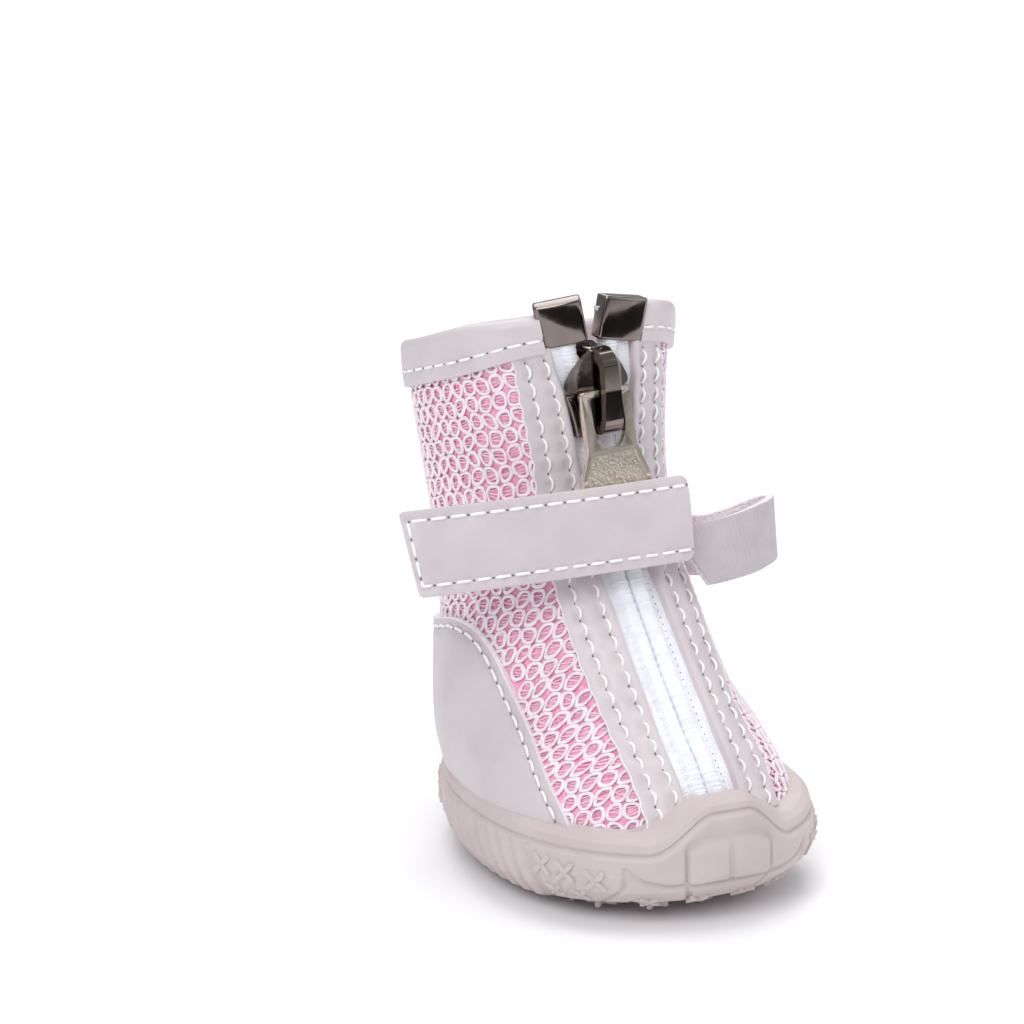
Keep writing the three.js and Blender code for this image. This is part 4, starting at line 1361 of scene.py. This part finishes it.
        bmesh.ops.transform(bm, matrix=matrix, verts=bm.verts)
        make_piece(bm, name.replace("end_clip", "clip_shell"), (DARK_NICKEL,), (name,), sharp=50)


# ---- the strap ----

@dataclass
class Ribbon:
    """A flat band along stations, whose foot may lean forward.

    Args:
        stations: x, y, z of the middle, lean and slant of each station.
        half: half the band's height.
    """

    stations: Array
    half: float

    def place(self, share: Array, rise: Array, out: Array) -> Array:
        """Points at a share of the length, a height off the middle and a distance out."""
        rows = smooth_line(self.stations, 400)
        along = np.gradient(rows[:, :3], axis=0)
        along[:, 2] = 0
        along = normalised(along)
        out_dir = np.cross(along, (0, 0, 1))
        up = normalised(np.array([0, 0, 1.0]) - out_dir * rows[:, 3:4])
        face = np.cross(along, up)
        reach = arc_length(rows[:, :3])
        reach /= reach[-1]

        def read(values: Array) -> Array:
            return np.stack([np.interp(share, reach, values[:, k]) for k in range(values.shape[1])], 1)

        slant = read(rows[:, 4:5])
        return (read(rows[:, :3]) + read(up) * rise[:, None] + read(face) * out[:, None]
                - read(along) * slant * (rise / self.half)[:, None] / 2)

    def length(self) -> float:
        """Length of the band's middle line."""
        return float(arc_length(smooth_line(self.stations, 400)[:, :3])[-1])


@dataclass
class Strap:
    """The stiff stitched strip across the front and the hook tape folded back from it.

    Args:
        left, right: x of the strip's ends.
        crest, depth: x and y where it is furthest forward.
        left_radius, right_radius: its bends.
        height, sag: height of its middle line, and that line's fall where the strip bends back.
        half, thick: half its width, and its thickness.
        lean: how far its foot leans forward.
        left_slant, right_slant: slant of its ends.
        seam_inset, end_inset: the seam from the long edges and from the left end.
        tape_half, tape_thick: half the hook tape's width, and its thickness.
        tape_rows: x, y, z and lean of the tape's stations.
    """

    left: float = -28.3
    right: float = 8.1
    crest: float = 2.0
    depth: float = -4.75
    left_radius: float = 75.0
    right_radius: float = 34.0
    height: float = 44.85
    sag: float = 0.253
    half: float = 5.35
    thick: float = 1.2
    lean: float = 0.31
    left_slant: float = 2.3
    right_slant: float = -1.1
    seam_inset: float = 1.35
    end_inset: float = 0.7
    tape_half: float = 3.95
    tape_thick: float = 1.0
    tape_rows: Rows = (
        (4.4, -3.65, 39.3, 0.40), (9.5, -3.3, 39.2, 0.38), (14.0, -2.55, 39.2, 0.35),
        (18.4, -0.8, 39.1, 0.30),
        (21.7, 1.1, 39.1, 0.22), (24.1, 3.0, 39.0, 0.14), (25.3, 4.5, 39.0, 0.06), (25.1, 5.7, 38.9, 0.0),
        (23.6, 6.6, 38.5, 0.0), (20.4, 7.8, 37.2, 0.0), (18.1, 9.2, 36.3, 0.0), (17.0, 11.8, 35.8, 0.0),
        (16.9, 14.8, 35.5, 0.0), (16.9, 17.8, 35.3, 0.0))

    def build(self) -> None:
        """Makes the strip, its stitches and the tape."""
        self.strip()
        self.tape()

    def strip_ribbon(self) -> Ribbon:
        """The strip's stations, worked out from its two bends."""
        x = np.linspace(self.left, self.right, 15)
        radius = np.where(x < self.crest, self.left_radius, self.right_radius)
        back = (x - self.crest) ** 2 / (2 * radius)
        slant = np.linspace(self.left_slant, self.right_slant, len(x))
        return Ribbon(np.column_stack([x, self.depth + back, self.height - self.sag * back,
                                       np.full_like(x, self.lean), slant]), self.half)

    def strip(self) -> None:
        """The strip: two layers of leatherette sewn round the edge, with white cut sides."""
        band = self.strip_ribbon()
        long = band.length()
        bm = slab((150, 46), (long, 2 * self.half), self.thick, 0.16)
        keep_flat_uv(bm)
        flat = positions(bm)
        seam = self.seam_line(long)
        top = flat[:, 2] > self.thick * 0.6
        flat[top, 2] -= pucker(flat[top, :2], seam, 2.4, 0.5, 0.16)
        centre = flat[:, 1] - self.half
        flat[:, 0] += self.rounding(centre, 0.6) * (1 - smoothstep(flat[:, 0], 0.0, 2.0))
        flat[:, 0] -= self.rounding(centre, 1.4) * smoothstep(flat[:, 0], long - 3.0, long)
        crown = 0.12 * (1 - (centre / self.half) ** 2)
        curl = 0.35 * smoothstep(-centre, 2.5, self.half) * (1 - smoothstep(flat[:, 0], 0.0, 5.0))
        ripple = 0.05 * np.sin(flat[:, 0] * 0.55 + 1.0) * np.sin(centre * 0.5 + 0.6)
        out = flat[:, 2] - self.thick / 2 + np.where(top, crown, 0) + curl + ripple
        move_to(bm, band.place(flat[:, 0] / long, centre, out))
        make_piece(bm, "strap_band", (LEATHERETTE, CUT_EDGE), ("strap_strip",))
        sewing = Sewing()
        share, rise = seam[:, 0] / long, seam[:, 1] - self.half
        lift = self.thick / 2 + 0.12 * (1 - (rise / self.half) ** 2) - 0.08
        lift = lift + 0.35 * smoothstep(-rise, 2.5, self.half) * (1 - smoothstep(seam[:, 0], 0.0, 5.0))
        low = band.place(share, rise, lift)
        sewing.row(low, band.place(share, rise, lift + 1.0) - low, 2.4, 0.0)
        sewing.finish("strap_stitches", "leatherette")

    def rounding(self, rise: Array, radius: float) -> Array:
        """How far a round corner of the strip's end stands back at each height."""
        beyond = np.clip(np.abs(rise) - (self.half - radius), 0, radius)
        return radius - np.sqrt(radius ** 2 - beyond ** 2)

    def seam_line(self, long: float) -> Array:
        """The stitch line: along the top, down the left end and back along the foot."""
        edge, end, tall = self.seam_inset, self.end_inset, 2 * self.half
        corners = [(long - 0.3, tall - edge), (end, tall - edge), (end, edge), (long - 0.3, edge)]
        runs = [np.linspace(a, b, 160 if abs(a[0] - b[0]) > 5 else 50, endpoint=False)
                for a, b in zip(corners[:-1], corners[1:])]
        return np.vstack([*runs, corners[-1:]])

    def tape(self) -> None:
        """The hook tape: ribbed outer face, white pile inside, with one tight fold."""
        rows = np.column_stack([np.array(self.tape_rows), np.zeros(len(self.tape_rows))])
        band = Ribbon(rows, self.tape_half)
        long = band.length()
        bm = slab((180, 14), (long, 2 * self.tape_half), self.tape_thick, 0.18)
        for face in bm.faces:
            face.material_index = 1 if face.normal.z < 0.2 else 0
        keep_flat_uv(bm)
        flat = positions(bm)
        rise = flat[:, 1] - self.tape_half
        flat[:, 0] += (4.2 - 0.55 * rise) * (1 - flat[:, 0] / 9.0).clip(0, 1)
        move_to(bm, band.place(flat[:, 0] / long, rise, flat[:, 2] - self.tape_thick / 2))
        make_piece(bm, "hook_tape_band", (HOOK_TAPE, HOOKS), ("strap_tape",))


# ---- the sole ----

@dataclass
class Sole:
    """The moulded cup sole: sidewall relief, roll, hollow inside, tread lanes and cross lugs.

    Args:
        rows: side height, front, back, half width, wave and toe spring of each row, from the ground up.
        steps: rings between the rows.
        power: roundness of the outline.
        egg: how much wider the toe is than the heel.
        wave_flat, wave_foot: half widths of the toe wave's crest and foot.
        wave_spread: how much the foot widens for each row of the roll.
        spring_start: y where the toe starts to rise.
        columns: faces round the cup.
        pad_back: height of the tread's hidden back.
        lane: half width and depth of the tread's grooves.
        middle: centre of the insole's underside.
        lugs: x, y and size of the tread's crosses, which the other side repeats.
        wall_crosses: bearing, row and size of the wall's crosses, likewise.
    """

    last: Last
    rows: Rows = (
        (1.0, -18.0, 21.0, 13.2, 0, 0.3), (1.1, -23.6, 24.2, 16.6, 0, 1.2), (2.1, -26.9, 26.6, 18.7, 0, 1.2),
        (4.1, -28.9, 28.0, 20.2, 0, 0.9), (6.6, -29.8, 28.8, 21.0, 0, 0.4), (9.2, -29.7, 28.8, 21.1, 4.9, 0),
        (9.8, -29.0, 28.3, 20.6, 5.0, 0), (10.2, -29.2, 28.5, 20.8, 4.9, 0),
        (11.1, -28.9, 28.3, 20.6, 4.7, 0), (11.8, -27.9, 27.7, 19.9, 4.4, 0),
        (12.1, -25.9, 26.1, 18.4, 4.1, 0), (11.9, -24.3, 24.8, 17.2, 3.8, 0))
    steps: tuple[int, ...] = (16, 12, 10, 10, 10, 4, 4, 5, 6, 6, 3)
    power: float = 2.1
    egg: float = 0.12
    wave_flat: float = 2.2
    wave_foot: float = 10.0
    wave_spread: float = 0.4
    spring_start: float = -12.0
    columns: int = 700
    pad_back: float = 1.72
    lane: tuple[float, float] = (0.48, 0.55)
    middle: tuple[float, float, float] = (0.0, 0.25, 4.5)
    lugs: Rows = (
        (11.1, -16.8, 3.4), (12.1, -12.0, 3.4), (11.4, -6.6, 3.4), (9.9, -1.0, 3.4), (8.8, 4.6, 3.4),
        (6.4, -16.3, 3.3), (6.8, -11.2, 3.3), (5.4, -1.0, 3.0), (4.9, 3.9, 3.0), (0, -15.0, 4.0),
        (0, -21.2, 3.3), (6.2, -21.0, 3.3), (2.8, 10.6, 3.8), (8.6, 10.6, 3.8), (2.8, 16.2, 3.8),
        (8.3, 16.0, 3.6), (2.7, 21.4, 3.4))
    wall_crosses: Rows = (
        (58.5, 4.2, 2.9), (50.8, 4.05, 2.9), (41.3, 3.75, 3.1), (55.0, 2.75, 2.4), (46.5, 2.6, 2.4),
        (24.0, 2.1, 2.6), (8.0, 2.0, 2.6), (118.0, 4.3, 2.8), (130.0, 4.3, 2.8), (143.0, 4.3, 2.8),
        (157.0, 4.3, 2.8), (171.0, 4.3, 2.8), (124.0, 2.7, 2.6), (137.0, 2.6, 2.6), (151.0, 2.5, 2.6),
        (166.0, 2.4, 2.6))

    def build(self) -> None:
        """Makes the cup, the tread and the insole."""
        self.table = np.array(self.rows)
        self.cup()
        self.tread()
        self.insole()

    def surface(self, bearing: Array, row: Array) -> Array:
        """Points on the cup's outside, bearing from the toe in degrees and fractional row."""
        values = [np.interp(row, np.arange(len(self.rows)), self.table[:, k]) for k in range(6)]
        side, front, back, half, wave, spring = values
        angle = np.radians(bearing)
        along = -signed_power(np.cos(angle), self.power)
        across = signed_power(np.sin(angle), self.power)
        x = half * across * (1 - self.egg * along)
        y = (front + back) / 2 + (back - front) / 2 * along
        foot = self.wave_foot + self.wave_spread * np.clip(row - 8, 0, 3)
        crest = np.where(y < 0, 1 - smoothstep(np.abs(x), self.wave_flat, foot), 0)
        rise = np.maximum((self.spring_start - y) / (self.spring_start - front), 0)
        return np.stack([x, y, side + wave * crest + spring * rise], -1)

    def surface_frame(self, bearing: Array, row: Array) -> tuple[Array, Array, Array, Array]:
        """Point, direction round, direction up and outward normal on the cup."""
        spot = self.surface(bearing, row)
        around = self.surface(bearing + 0.5, row) - self.surface(bearing - 0.5, row)
        up = self.surface(bearing, np.minimum(row + 0.15, 10.9)) - self.surface(bearing, row - 0.15)
        around = normalised(around)
        out = normalised(np.cross(around, up))
        return spot, around, np.cross(out, around), out

    def wall_lines(self) -> list[Array]:
        """The grooves of one side's wall, as bearing in degrees and row."""
        return [np.array([(64.5, 5.6), (63.3, 4.26), (61.3, 3.3), (59.3, 2.58), (57.0, 1.2)]),
                np.array([(32.0, 4.5), (32.5, 3.26), (38.8, 2.0), (42.0, 1.2)]),
                smooth_line([(32.0, 4.5), (26.7, 3.84), (19.2, 3.44), (13.5, 3.5), (6.7, 3.55), (0.0, 3.58)],
                            16),
                np.array([(13.4, 4.75), (13.3, 3.6), (11.0, 2.0), (10.0, 0.9)]),
                np.array([(13.4, 4.75), (7.0, 4.72), (0.2, 4.7)]),
                np.array([(0.2, 4.7), (0.2, 3.6)]),
                np.array([(116.0, 5.6), (114.0, 4.2), (111.5, 2.6), (109.0, 1.2)])]

    def plan_lines(self) -> list[Array]:
        """The tread's grooves seen from below, x and y in millimetres."""
        outer = [(13.1, -17.0), (14.6, -12.5), (13.9, -6.0), (11.9, 1.0), (10.6, 8.2)]
        inner = [(8.5, -17.5), (9.3, -12.5), (8.6, -6.0), (7.1, 1.0), (5.9, 8.4)]
        lines = []
        for side in (-1, 1):
            lines += [smooth_line([(side * x, y) for x, y in row], 24) for row in (outer, inner)]
        lines += [smooth_line(row, 20) for row in (
            [(-17.0, -15.2), (-8.0, -17.6), (0, -18.2), (8.0, -17.6), (17.0, -15.2)],
            [(-17.0, 9.2), (-8.0, 8.3), (0, 8.0), (8.0, 8.3), (17.0, 9.2)])]
        lines += [smooth_line(row, 16) for row in (
            [(-9.0, -17.5), (-9.8, -21.0), (-11.0, -24.5)], [(-3.2, -14.5), (-2.6, -19.0), (-1.6, -24.0)],
            [(3.9, -11.0), (4.1, -19.0), (5.4, -24.5)], [(11.0, -17.0), (12.0, -20.0), (13.2, -22.5)],
            [(5.7, 8.4), (6.0, 15.0), (5.6, 24.0)], [(-0.2, 8.0), (0.1, 15.0), (0.0, 24.5)],
            [(-5.7, 8.4), (-6.0, 15.0), (-5.6, 24.0)])]
        return lines

    def cut(self, away: Array, width: float, depth: float) -> Array:
        """Depth of a round-bottomed groove at a distance from its line."""
        return depth * np.clip(1 - (away / width) ** 2, 0, 1)

    def lanes(self, spots: Array) -> Array:
        """How deep the tread's grooves are over each place."""
        depth = np.zeros(len(spots))
        for line in self.plan_lines():
            depth = np.maximum(depth, self.cut(distance_to(spots[:, :2], line), *self.lane))
        return depth

    def relief(self, bearing: Array, row: Array, spot: Array) -> Array:
        """How far the cup's wall is cut in at each place."""
        facing = smoothstep(row, 1.4, 2.4)
        scale = np.array([0.40, 2.4])
        flat = np.column_stack([np.abs(bearing), row]) * scale
        wall = np.zeros(len(bearing))
        for line in self.wall_lines():
            away = distance_to(flat, line * scale)
            wall = np.maximum(wall, self.cut(away, 0.42, 0.45))
        wall *= smoothstep(row, 1.0, 1.3) * (1 - smoothstep(row, 5.2, 5.6))
        plan = self.lanes(spot) * (1 - facing)
        slant = np.interp(row, (1.2, 2.6, 4.2, 5.3), (-5.5, -3.0, 0.0, 1.5))
        phase = (np.abs(bearing) - slant - 64.5) / 5.5
        arch = np.abs(np.sin(math.pi * phase))
        ribbed = (smoothstep(phase, -0.16, -0.02) * (phase < 9) * smoothstep(row, 0.9, 1.6)
                  * (1 - smoothstep(row, 4.7, 5.3)))
        swell = ribbed * (0.25 * arch - 0.5 * (1 - arch) ** 2.5)
        blocks = ((np.abs(bearing) < 13.2).astype(float) * smoothstep(row, 3.62, 3.72)
                  * (1 - smoothstep(row, 4.6, 4.7)))
        return wall + plan - swell - 0.4 * blocks

    def cup(self) -> None:
        """The whole cup in one skin: under, wall, roll, inside and floor."""
        outer = np.concatenate([k + np.arange(count) / count for k, count in enumerate(self.steps)])
        outer = np.append(outer, float(len(self.steps)))
        under, inside, floor = 4, 9, 5
        total = under + len(outer) + inside + floor
        bm = sheet(self.columns, total - 1)
        flat = positions(bm)
        bearing = flat[:, 0] * 360 - 180
        index = np.rint(flat[:, 1] * (total - 1)).astype(int)
        places = np.zeros((len(flat), 3))
        on_outer = (index >= under) & (index < under + len(outer))
        row = outer[np.clip(index - under, 0, len(outer) - 1)]
        spot, _, _, out = self.surface_frame(bearing[on_outer], row[on_outer])
        cut = self.relief(bearing[on_outer], row[on_outer], spot)
        places[on_outer] = spot - out * cut[:, None]
        below = index < under
        share = index[below] / under
        ring = self.surface(bearing[below], np.zeros(below.sum()))
        places[below] = ring * np.stack([share * 0.97, share * 0.97, np.zeros_like(share)], 1)
        places[below, 1] += (1 - share * 0.97) * 1.5 * (share == 0)
        places[below, 2] = 1.75
        within = (index >= under + len(outer)) & (index < under + len(outer) + inside)
        step = (index[within] - under - len(outer)) / (inside - 1)
        brim = self.surface(bearing[within], np.full(within.sum(), 11.0))[:, 2] - 0.35
        start = self.level_at(np.radians(bearing[within]), brim)
        places[within] = self.last.place(np.radians(bearing[within]), start * (1 - step),
                                         np.full(within.sum(), GAP))
        base = index >= under + len(outer) + inside
        step = (index[base] - under - len(outer) - inside + 1) / floor
        edge = self.last.place(np.radians(bearing[base]), np.zeros(base.sum()), np.full(base.sum(), GAP))
        middle = np.array(self.middle) - (0, 0, GAP)
        places[base] = edge + (middle - edge) * step[:, None]
        places[base, 2] -= GAP * (1 - step)
        move_to(bm, places)
        make_piece(bm, "sole_cup", (RUBBER,), ("sole",), sharp=60)

    def level_at(self, angle: Array, height: Array) -> Array:
        """The last's level where it reaches a height at each angle."""
        levels = np.linspace(0, 3, 31)
        heights = self.last.point(angle[:, None], levels[None, :])[..., 2]
        index = np.clip((heights < height[:, None]).sum(1), 1, 30)
        row = np.arange(len(angle))
        low, high = heights[row, index - 1], heights[row, index]
        return (index - 1 + np.clip((height - low) / (high - low), 0, 1)) * 0.1

    def tread(self) -> None:
        """The tread: a grooved pad inside the lanes, cross lugs and a plain round boss."""
        bm = sheet(150, 180)
        flat = positions(bm) * 2 - 1
        radius = np.maximum(np.abs(flat[:, 0]), np.abs(flat[:, 1]))
        length = np.maximum(np.hypot(flat[:, 0], flat[:, 1]), 1e-9)
        ring_x, ring_y = flat[:, 0] / length * radius, flat[:, 1] / length * radius
        bearing = np.degrees(np.arctan2(ring_x, -ring_y))
        edge = self.surface(bearing, np.zeros(len(flat)))
        share = np.clip(radius, 0, 1)[:, None]
        middle = np.array([0.0, 1.5, 1.0])
        places = middle + (edge - middle) * share
        places[:, 2] = 1.0 + 0.3 * np.clip((self.spring_start - places[:, 1]) / 6.0, 0, 1)
        places[:, 2] += self.lanes(places)
        move_to(bm, places)
        bmesh.ops.recalc_face_normals(bm, faces=bm.faces)
        grown = bmesh.ops.extrude_face_region(bm, geom=bm.faces[:], use_keep_orig=True)
        for item in grown["geom"]:
            if isinstance(item, BMVert):
                item.co.z = self.pad_back
        parts = [bm, self.crosses(), self.boss()]
        make_piece(joined(parts), "sole_tread", (RUBBER,), sharp=60)

    def cross(self) -> BMesh:
        """A unit cross lug: two crossed rounded bars, from -0.5 to 0.5 and one high."""
        bars = []
        for turn in (math.pi / 4, -math.pi / 4):
            bm = bmesh.new()
            bmesh.ops.create_cube(bm, size=1.0)
            bmesh.ops.scale(bm, verts=bm.verts, vec=(1.2, 0.23, 1.0))
            top = [edge for edge in bm.edges if all(vert.co.z > 0.4 for vert in edge.verts)
                   or abs(edge.verts[0].co.z - edge.verts[1].co.z) > 0.5]
            round_off(bm, top, 0.1, 2)
            bmesh.ops.rotate(bm, verts=bm.verts, cent=(0, 0, 0), matrix=Matrix.Rotation(turn, 3, "Z"))
            bars.append(bm)
        return joined(bars)

    def crosses(self) -> BMesh:
        """All the cross lugs: flat ones under the tread and draped ones up the wall."""
        unit = self.cross()
        shape = positions(unit)
        places = []
        for x, y, size in self.lugs:
            rise = 0.13 * max(self.spring_start - y, 0) + 0.1 * max(abs(x) - 8.0, 0)
            for side in ((-1, 1) if x > 0 else (1,)):
                spot = shape * np.array([size, size, -1.45])
                spot[:, 2] += rise + 0.725
                places.append(spot + np.array([side * x, y, 0.0]))
        for bearing, row, size in self.wall_crosses:
            for side in (-1, 1):
                spot, around, up, out = self.surface_frame(np.array([side * bearing]), np.array([row]))
                local = shape * np.array([size, size, 0.62])
                places.append(spot + local[:, :1] * around + local[:, 1:2] * up + local[:, 2:] * out)
        bm = copies(unit, np.array(places))
        unit.free()
        return bm

    def boss(self) -> BMesh:
        """A plain round boss with a sunk middle in the waist of the tread."""
        bm = bmesh.new()
        bmesh.ops.create_cone(bm, cap_ends=True, segments=48, radius1=2.9, radius2=2.9, depth=1.5)
        bmesh.ops.translate(bm, verts=bm.verts, vec=(0, 0, 0.75))
        bm.normal_update()
        under = [face for face in bm.faces if face.normal.z < -0.9]
        bmesh.ops.inset_region(bm, faces=under, thickness=0.5, depth=0.0, use_even_offset=True)
        bmesh.ops.inset_region(bm, faces=under, thickness=0.15, depth=-0.4, use_even_offset=True)
        rims = [edge for edge in bm.edges if edge.is_manifold and edge.calc_face_angle(0) > 0.8]
        round_off(bm, rims, 0.1, 2)
        return bm

    def insole(self) -> None:
        """The sock on the cup's floor."""
        bm = sheet(72, 14)
        flat = positions(bm)
        angle = flat[:, 0] * TAU
        rim = self.last.place(angle, np.zeros(len(flat)), np.full(len(flat), -WALL - GAP))
        step = flat[:, 1]
        middle = np.array(self.middle)
        over = np.clip(step / 0.2, 0, 1)
        shrink = np.clip((step - 0.2) / 0.8, 0, 1)[:, None]
        places = rim + (middle - rim) * shrink
        places[:, 2] += 2.0 * over + 0.12 * np.sin(shrink[:, 0] * math.pi)
        move_to(bm, places)
        bmesh.ops.remove_doubles(bm, verts=bm.verts, dist=1e-4)
        bmesh.ops.holes_fill(bm, edges=[edge for edge in bm.edges if edge.is_boundary], sides=0)
        make_piece(bm, "insole_sock", (LINING,), ("insole",))


# ---- the studio ----

@dataclass
class Studio:
    """A pale paper floor, soft lights and the camera.

    Args:
        azimuth: camera's turn from the toe in degrees, to the left when negative.
        elevation: its height above the horizon in degrees.
        distance: how far it is from the aim, in millimetres.
        focal: the lens's length on a 36 mm sensor.
        aside: how far the camera moves to the left of the aim, in millimetres.
        below: the same, downwards.
        aim: the point it looks at before that.
        lights: name, place in metres, side in metres and power in watts of each soft box.
    """

    azimuth: float = -28.0
    elevation: float = 16.0
    distance: float = 700.0
    focal: float = 194.4
    aside: float = 12.97
    below: float = -34.49
    aim: tuple[float, float, float] = (0.0, 0.0, 9.5)
    lights: tuple[tuple[str, tuple[float, float, float], float, float], ...] = (
        ("key", (-0.55, -0.5, 0.7), 0.6, 4.6), ("fill", (0.8, -0.4, 0.5), 0.8, 2.0),
        ("back", (0.35, 0.8, 0.7), 0.7, 3.4), ("top", (0.05, 0.1, 1.1), 0.7, 4.8))

    def build(self) -> None:
        """Sets floor, lights, reflections and camera."""
        self.floor()
        for name, place, size, power in self.lights:
            self.light(name, place, size, power)
        self.card("low_flag", (0.02, -0.13, 0.022), 0.34, 0.046)
        self.card("high_flag", (0.02, -0.13, 0.073), 0.34, 0.01)
        world = bpy.data.worlds.new("soft_room")
        bpy.context.scene.world = world
        world.use_nodes = True
        sky = world.node_tree.nodes["Background"]
        sky.inputs["Color"].default_value = linear("#eef0f6")
        sky.inputs["Strength"].default_value = 0.42
        bpy.context.scene.view_settings.view_transform = "Standard"
        self.camera()

    def floor(self) -> None:
        """The paper sheet, a flat square grid."""
        bm = bmesh.new()
        bmesh.ops.create_grid(bm, x_segments=24, y_segments=24, size=4.0)
        self.staged(bm, "paper_floor", PAPER.material())

    def staged(self, bm: BMesh, name: str, material: bpy.types.Material) -> bpy.types.Object:
        """A bmesh in metres as an object of the studio."""
        mesh = bpy.data.meshes.new(name)
        bm.to_mesh(mesh)
        bm.free()
        mesh.materials.append(material)
        item = bpy.data.objects.new(name, mesh)
        bpy.context.scene.collection.objects.link(item)
        return item

    def light(self, name: str, place: tuple[float, float, float], size: float, power: float) -> None:
        """A square soft box aimed at the boot.

        Args:
            name: the light's name.
            place: where it hangs, in metres.
            size: its side in metres.
            power: its power in watts.
        """
        lamp = bpy.data.lights.new(name, "AREA")
        lamp.shape = "SQUARE"
        lamp.size = size
        lamp.energy = power
        box = bpy.data.objects.new(name, lamp)
        box.location = place
        box.rotation_euler = (Vector((0, 0, 0.03)) - Vector(place)).to_track_quat("-Z", "Y").to_euler()
        bpy.context.scene.collection.objects.link(box)

    def card(self, name: str, place: tuple[float, float, float], wide: float, tall: float) -> None:
        """A black card that only the polished metal sees, to give it its dark reflection."""
        bm = bmesh.new()
        bmesh.ops.create_grid(bm, x_segments=1, y_segments=1, size=0.5)
        bmesh.ops.scale(bm, verts=bm.verts, vec=(wide, tall, 1))
        for turn, axis in ((math.pi / 2, "X"), (math.radians(12), "Z")):
            bmesh.ops.rotate(bm, verts=bm.verts, cent=(0, 0, 0), matrix=Matrix.Rotation(turn, 3, axis))
        bmesh.ops.translate(bm, verts=bm.verts, vec=place)
        black = bpy.data.materials.new("black_card")
        black.use_nodes = True
        black.node_tree.nodes["Principled BSDF"].inputs["Base Color"].default_value = linear("#0b0a0a")
        card = self.staged(bm, name, black)
        for ray in ("camera", "diffuse", "shadow", "transmission"):
            setattr(card, f"visible_{ray}", False)

    def camera(self) -> None:
        """A long lens, level with the horizon, aimed beside the boot so that it sits low in the frame."""
        azimuth, elevation = math.radians(self.azimuth), math.radians(self.elevation)
        back = Vector((math.sin(azimuth) * math.cos(elevation), -math.cos(azimuth) * math.cos(elevation),
                       math.sin(elevation)))
        right = Vector((math.cos(azimuth), math.sin(azimuth), 0.0))
        up = back.cross(right)
        place = Vector(self.aim) + back * self.distance - right * self.aside - up * self.below
        lens = bpy.data.cameras.new("camera")
        lens.lens = self.focal
        lens.sensor_width = 36.0
        lens.clip_start, lens.clip_end = 0.05, 20.0
        camera = bpy.data.objects.new("camera", lens)
        camera.matrix_world = basis(place * MM, right, up, back)
        bpy.context.scene.collection.objects.link(camera)
        bpy.context.scene.camera = camera


def main() -> None:
    """Builds the boot and its studio."""
    logging.basicConfig(level=logging.INFO, format="%(name)s %(message)s")
    last = Last()
    zip_line = ZipLine(last)
    Studio().build()
    Sole(last).build()
    Upper(last, zip_line).build()
    Zip(last, zip_line).build()
    Strap().build()


if __name__ == "__main__":
    main()
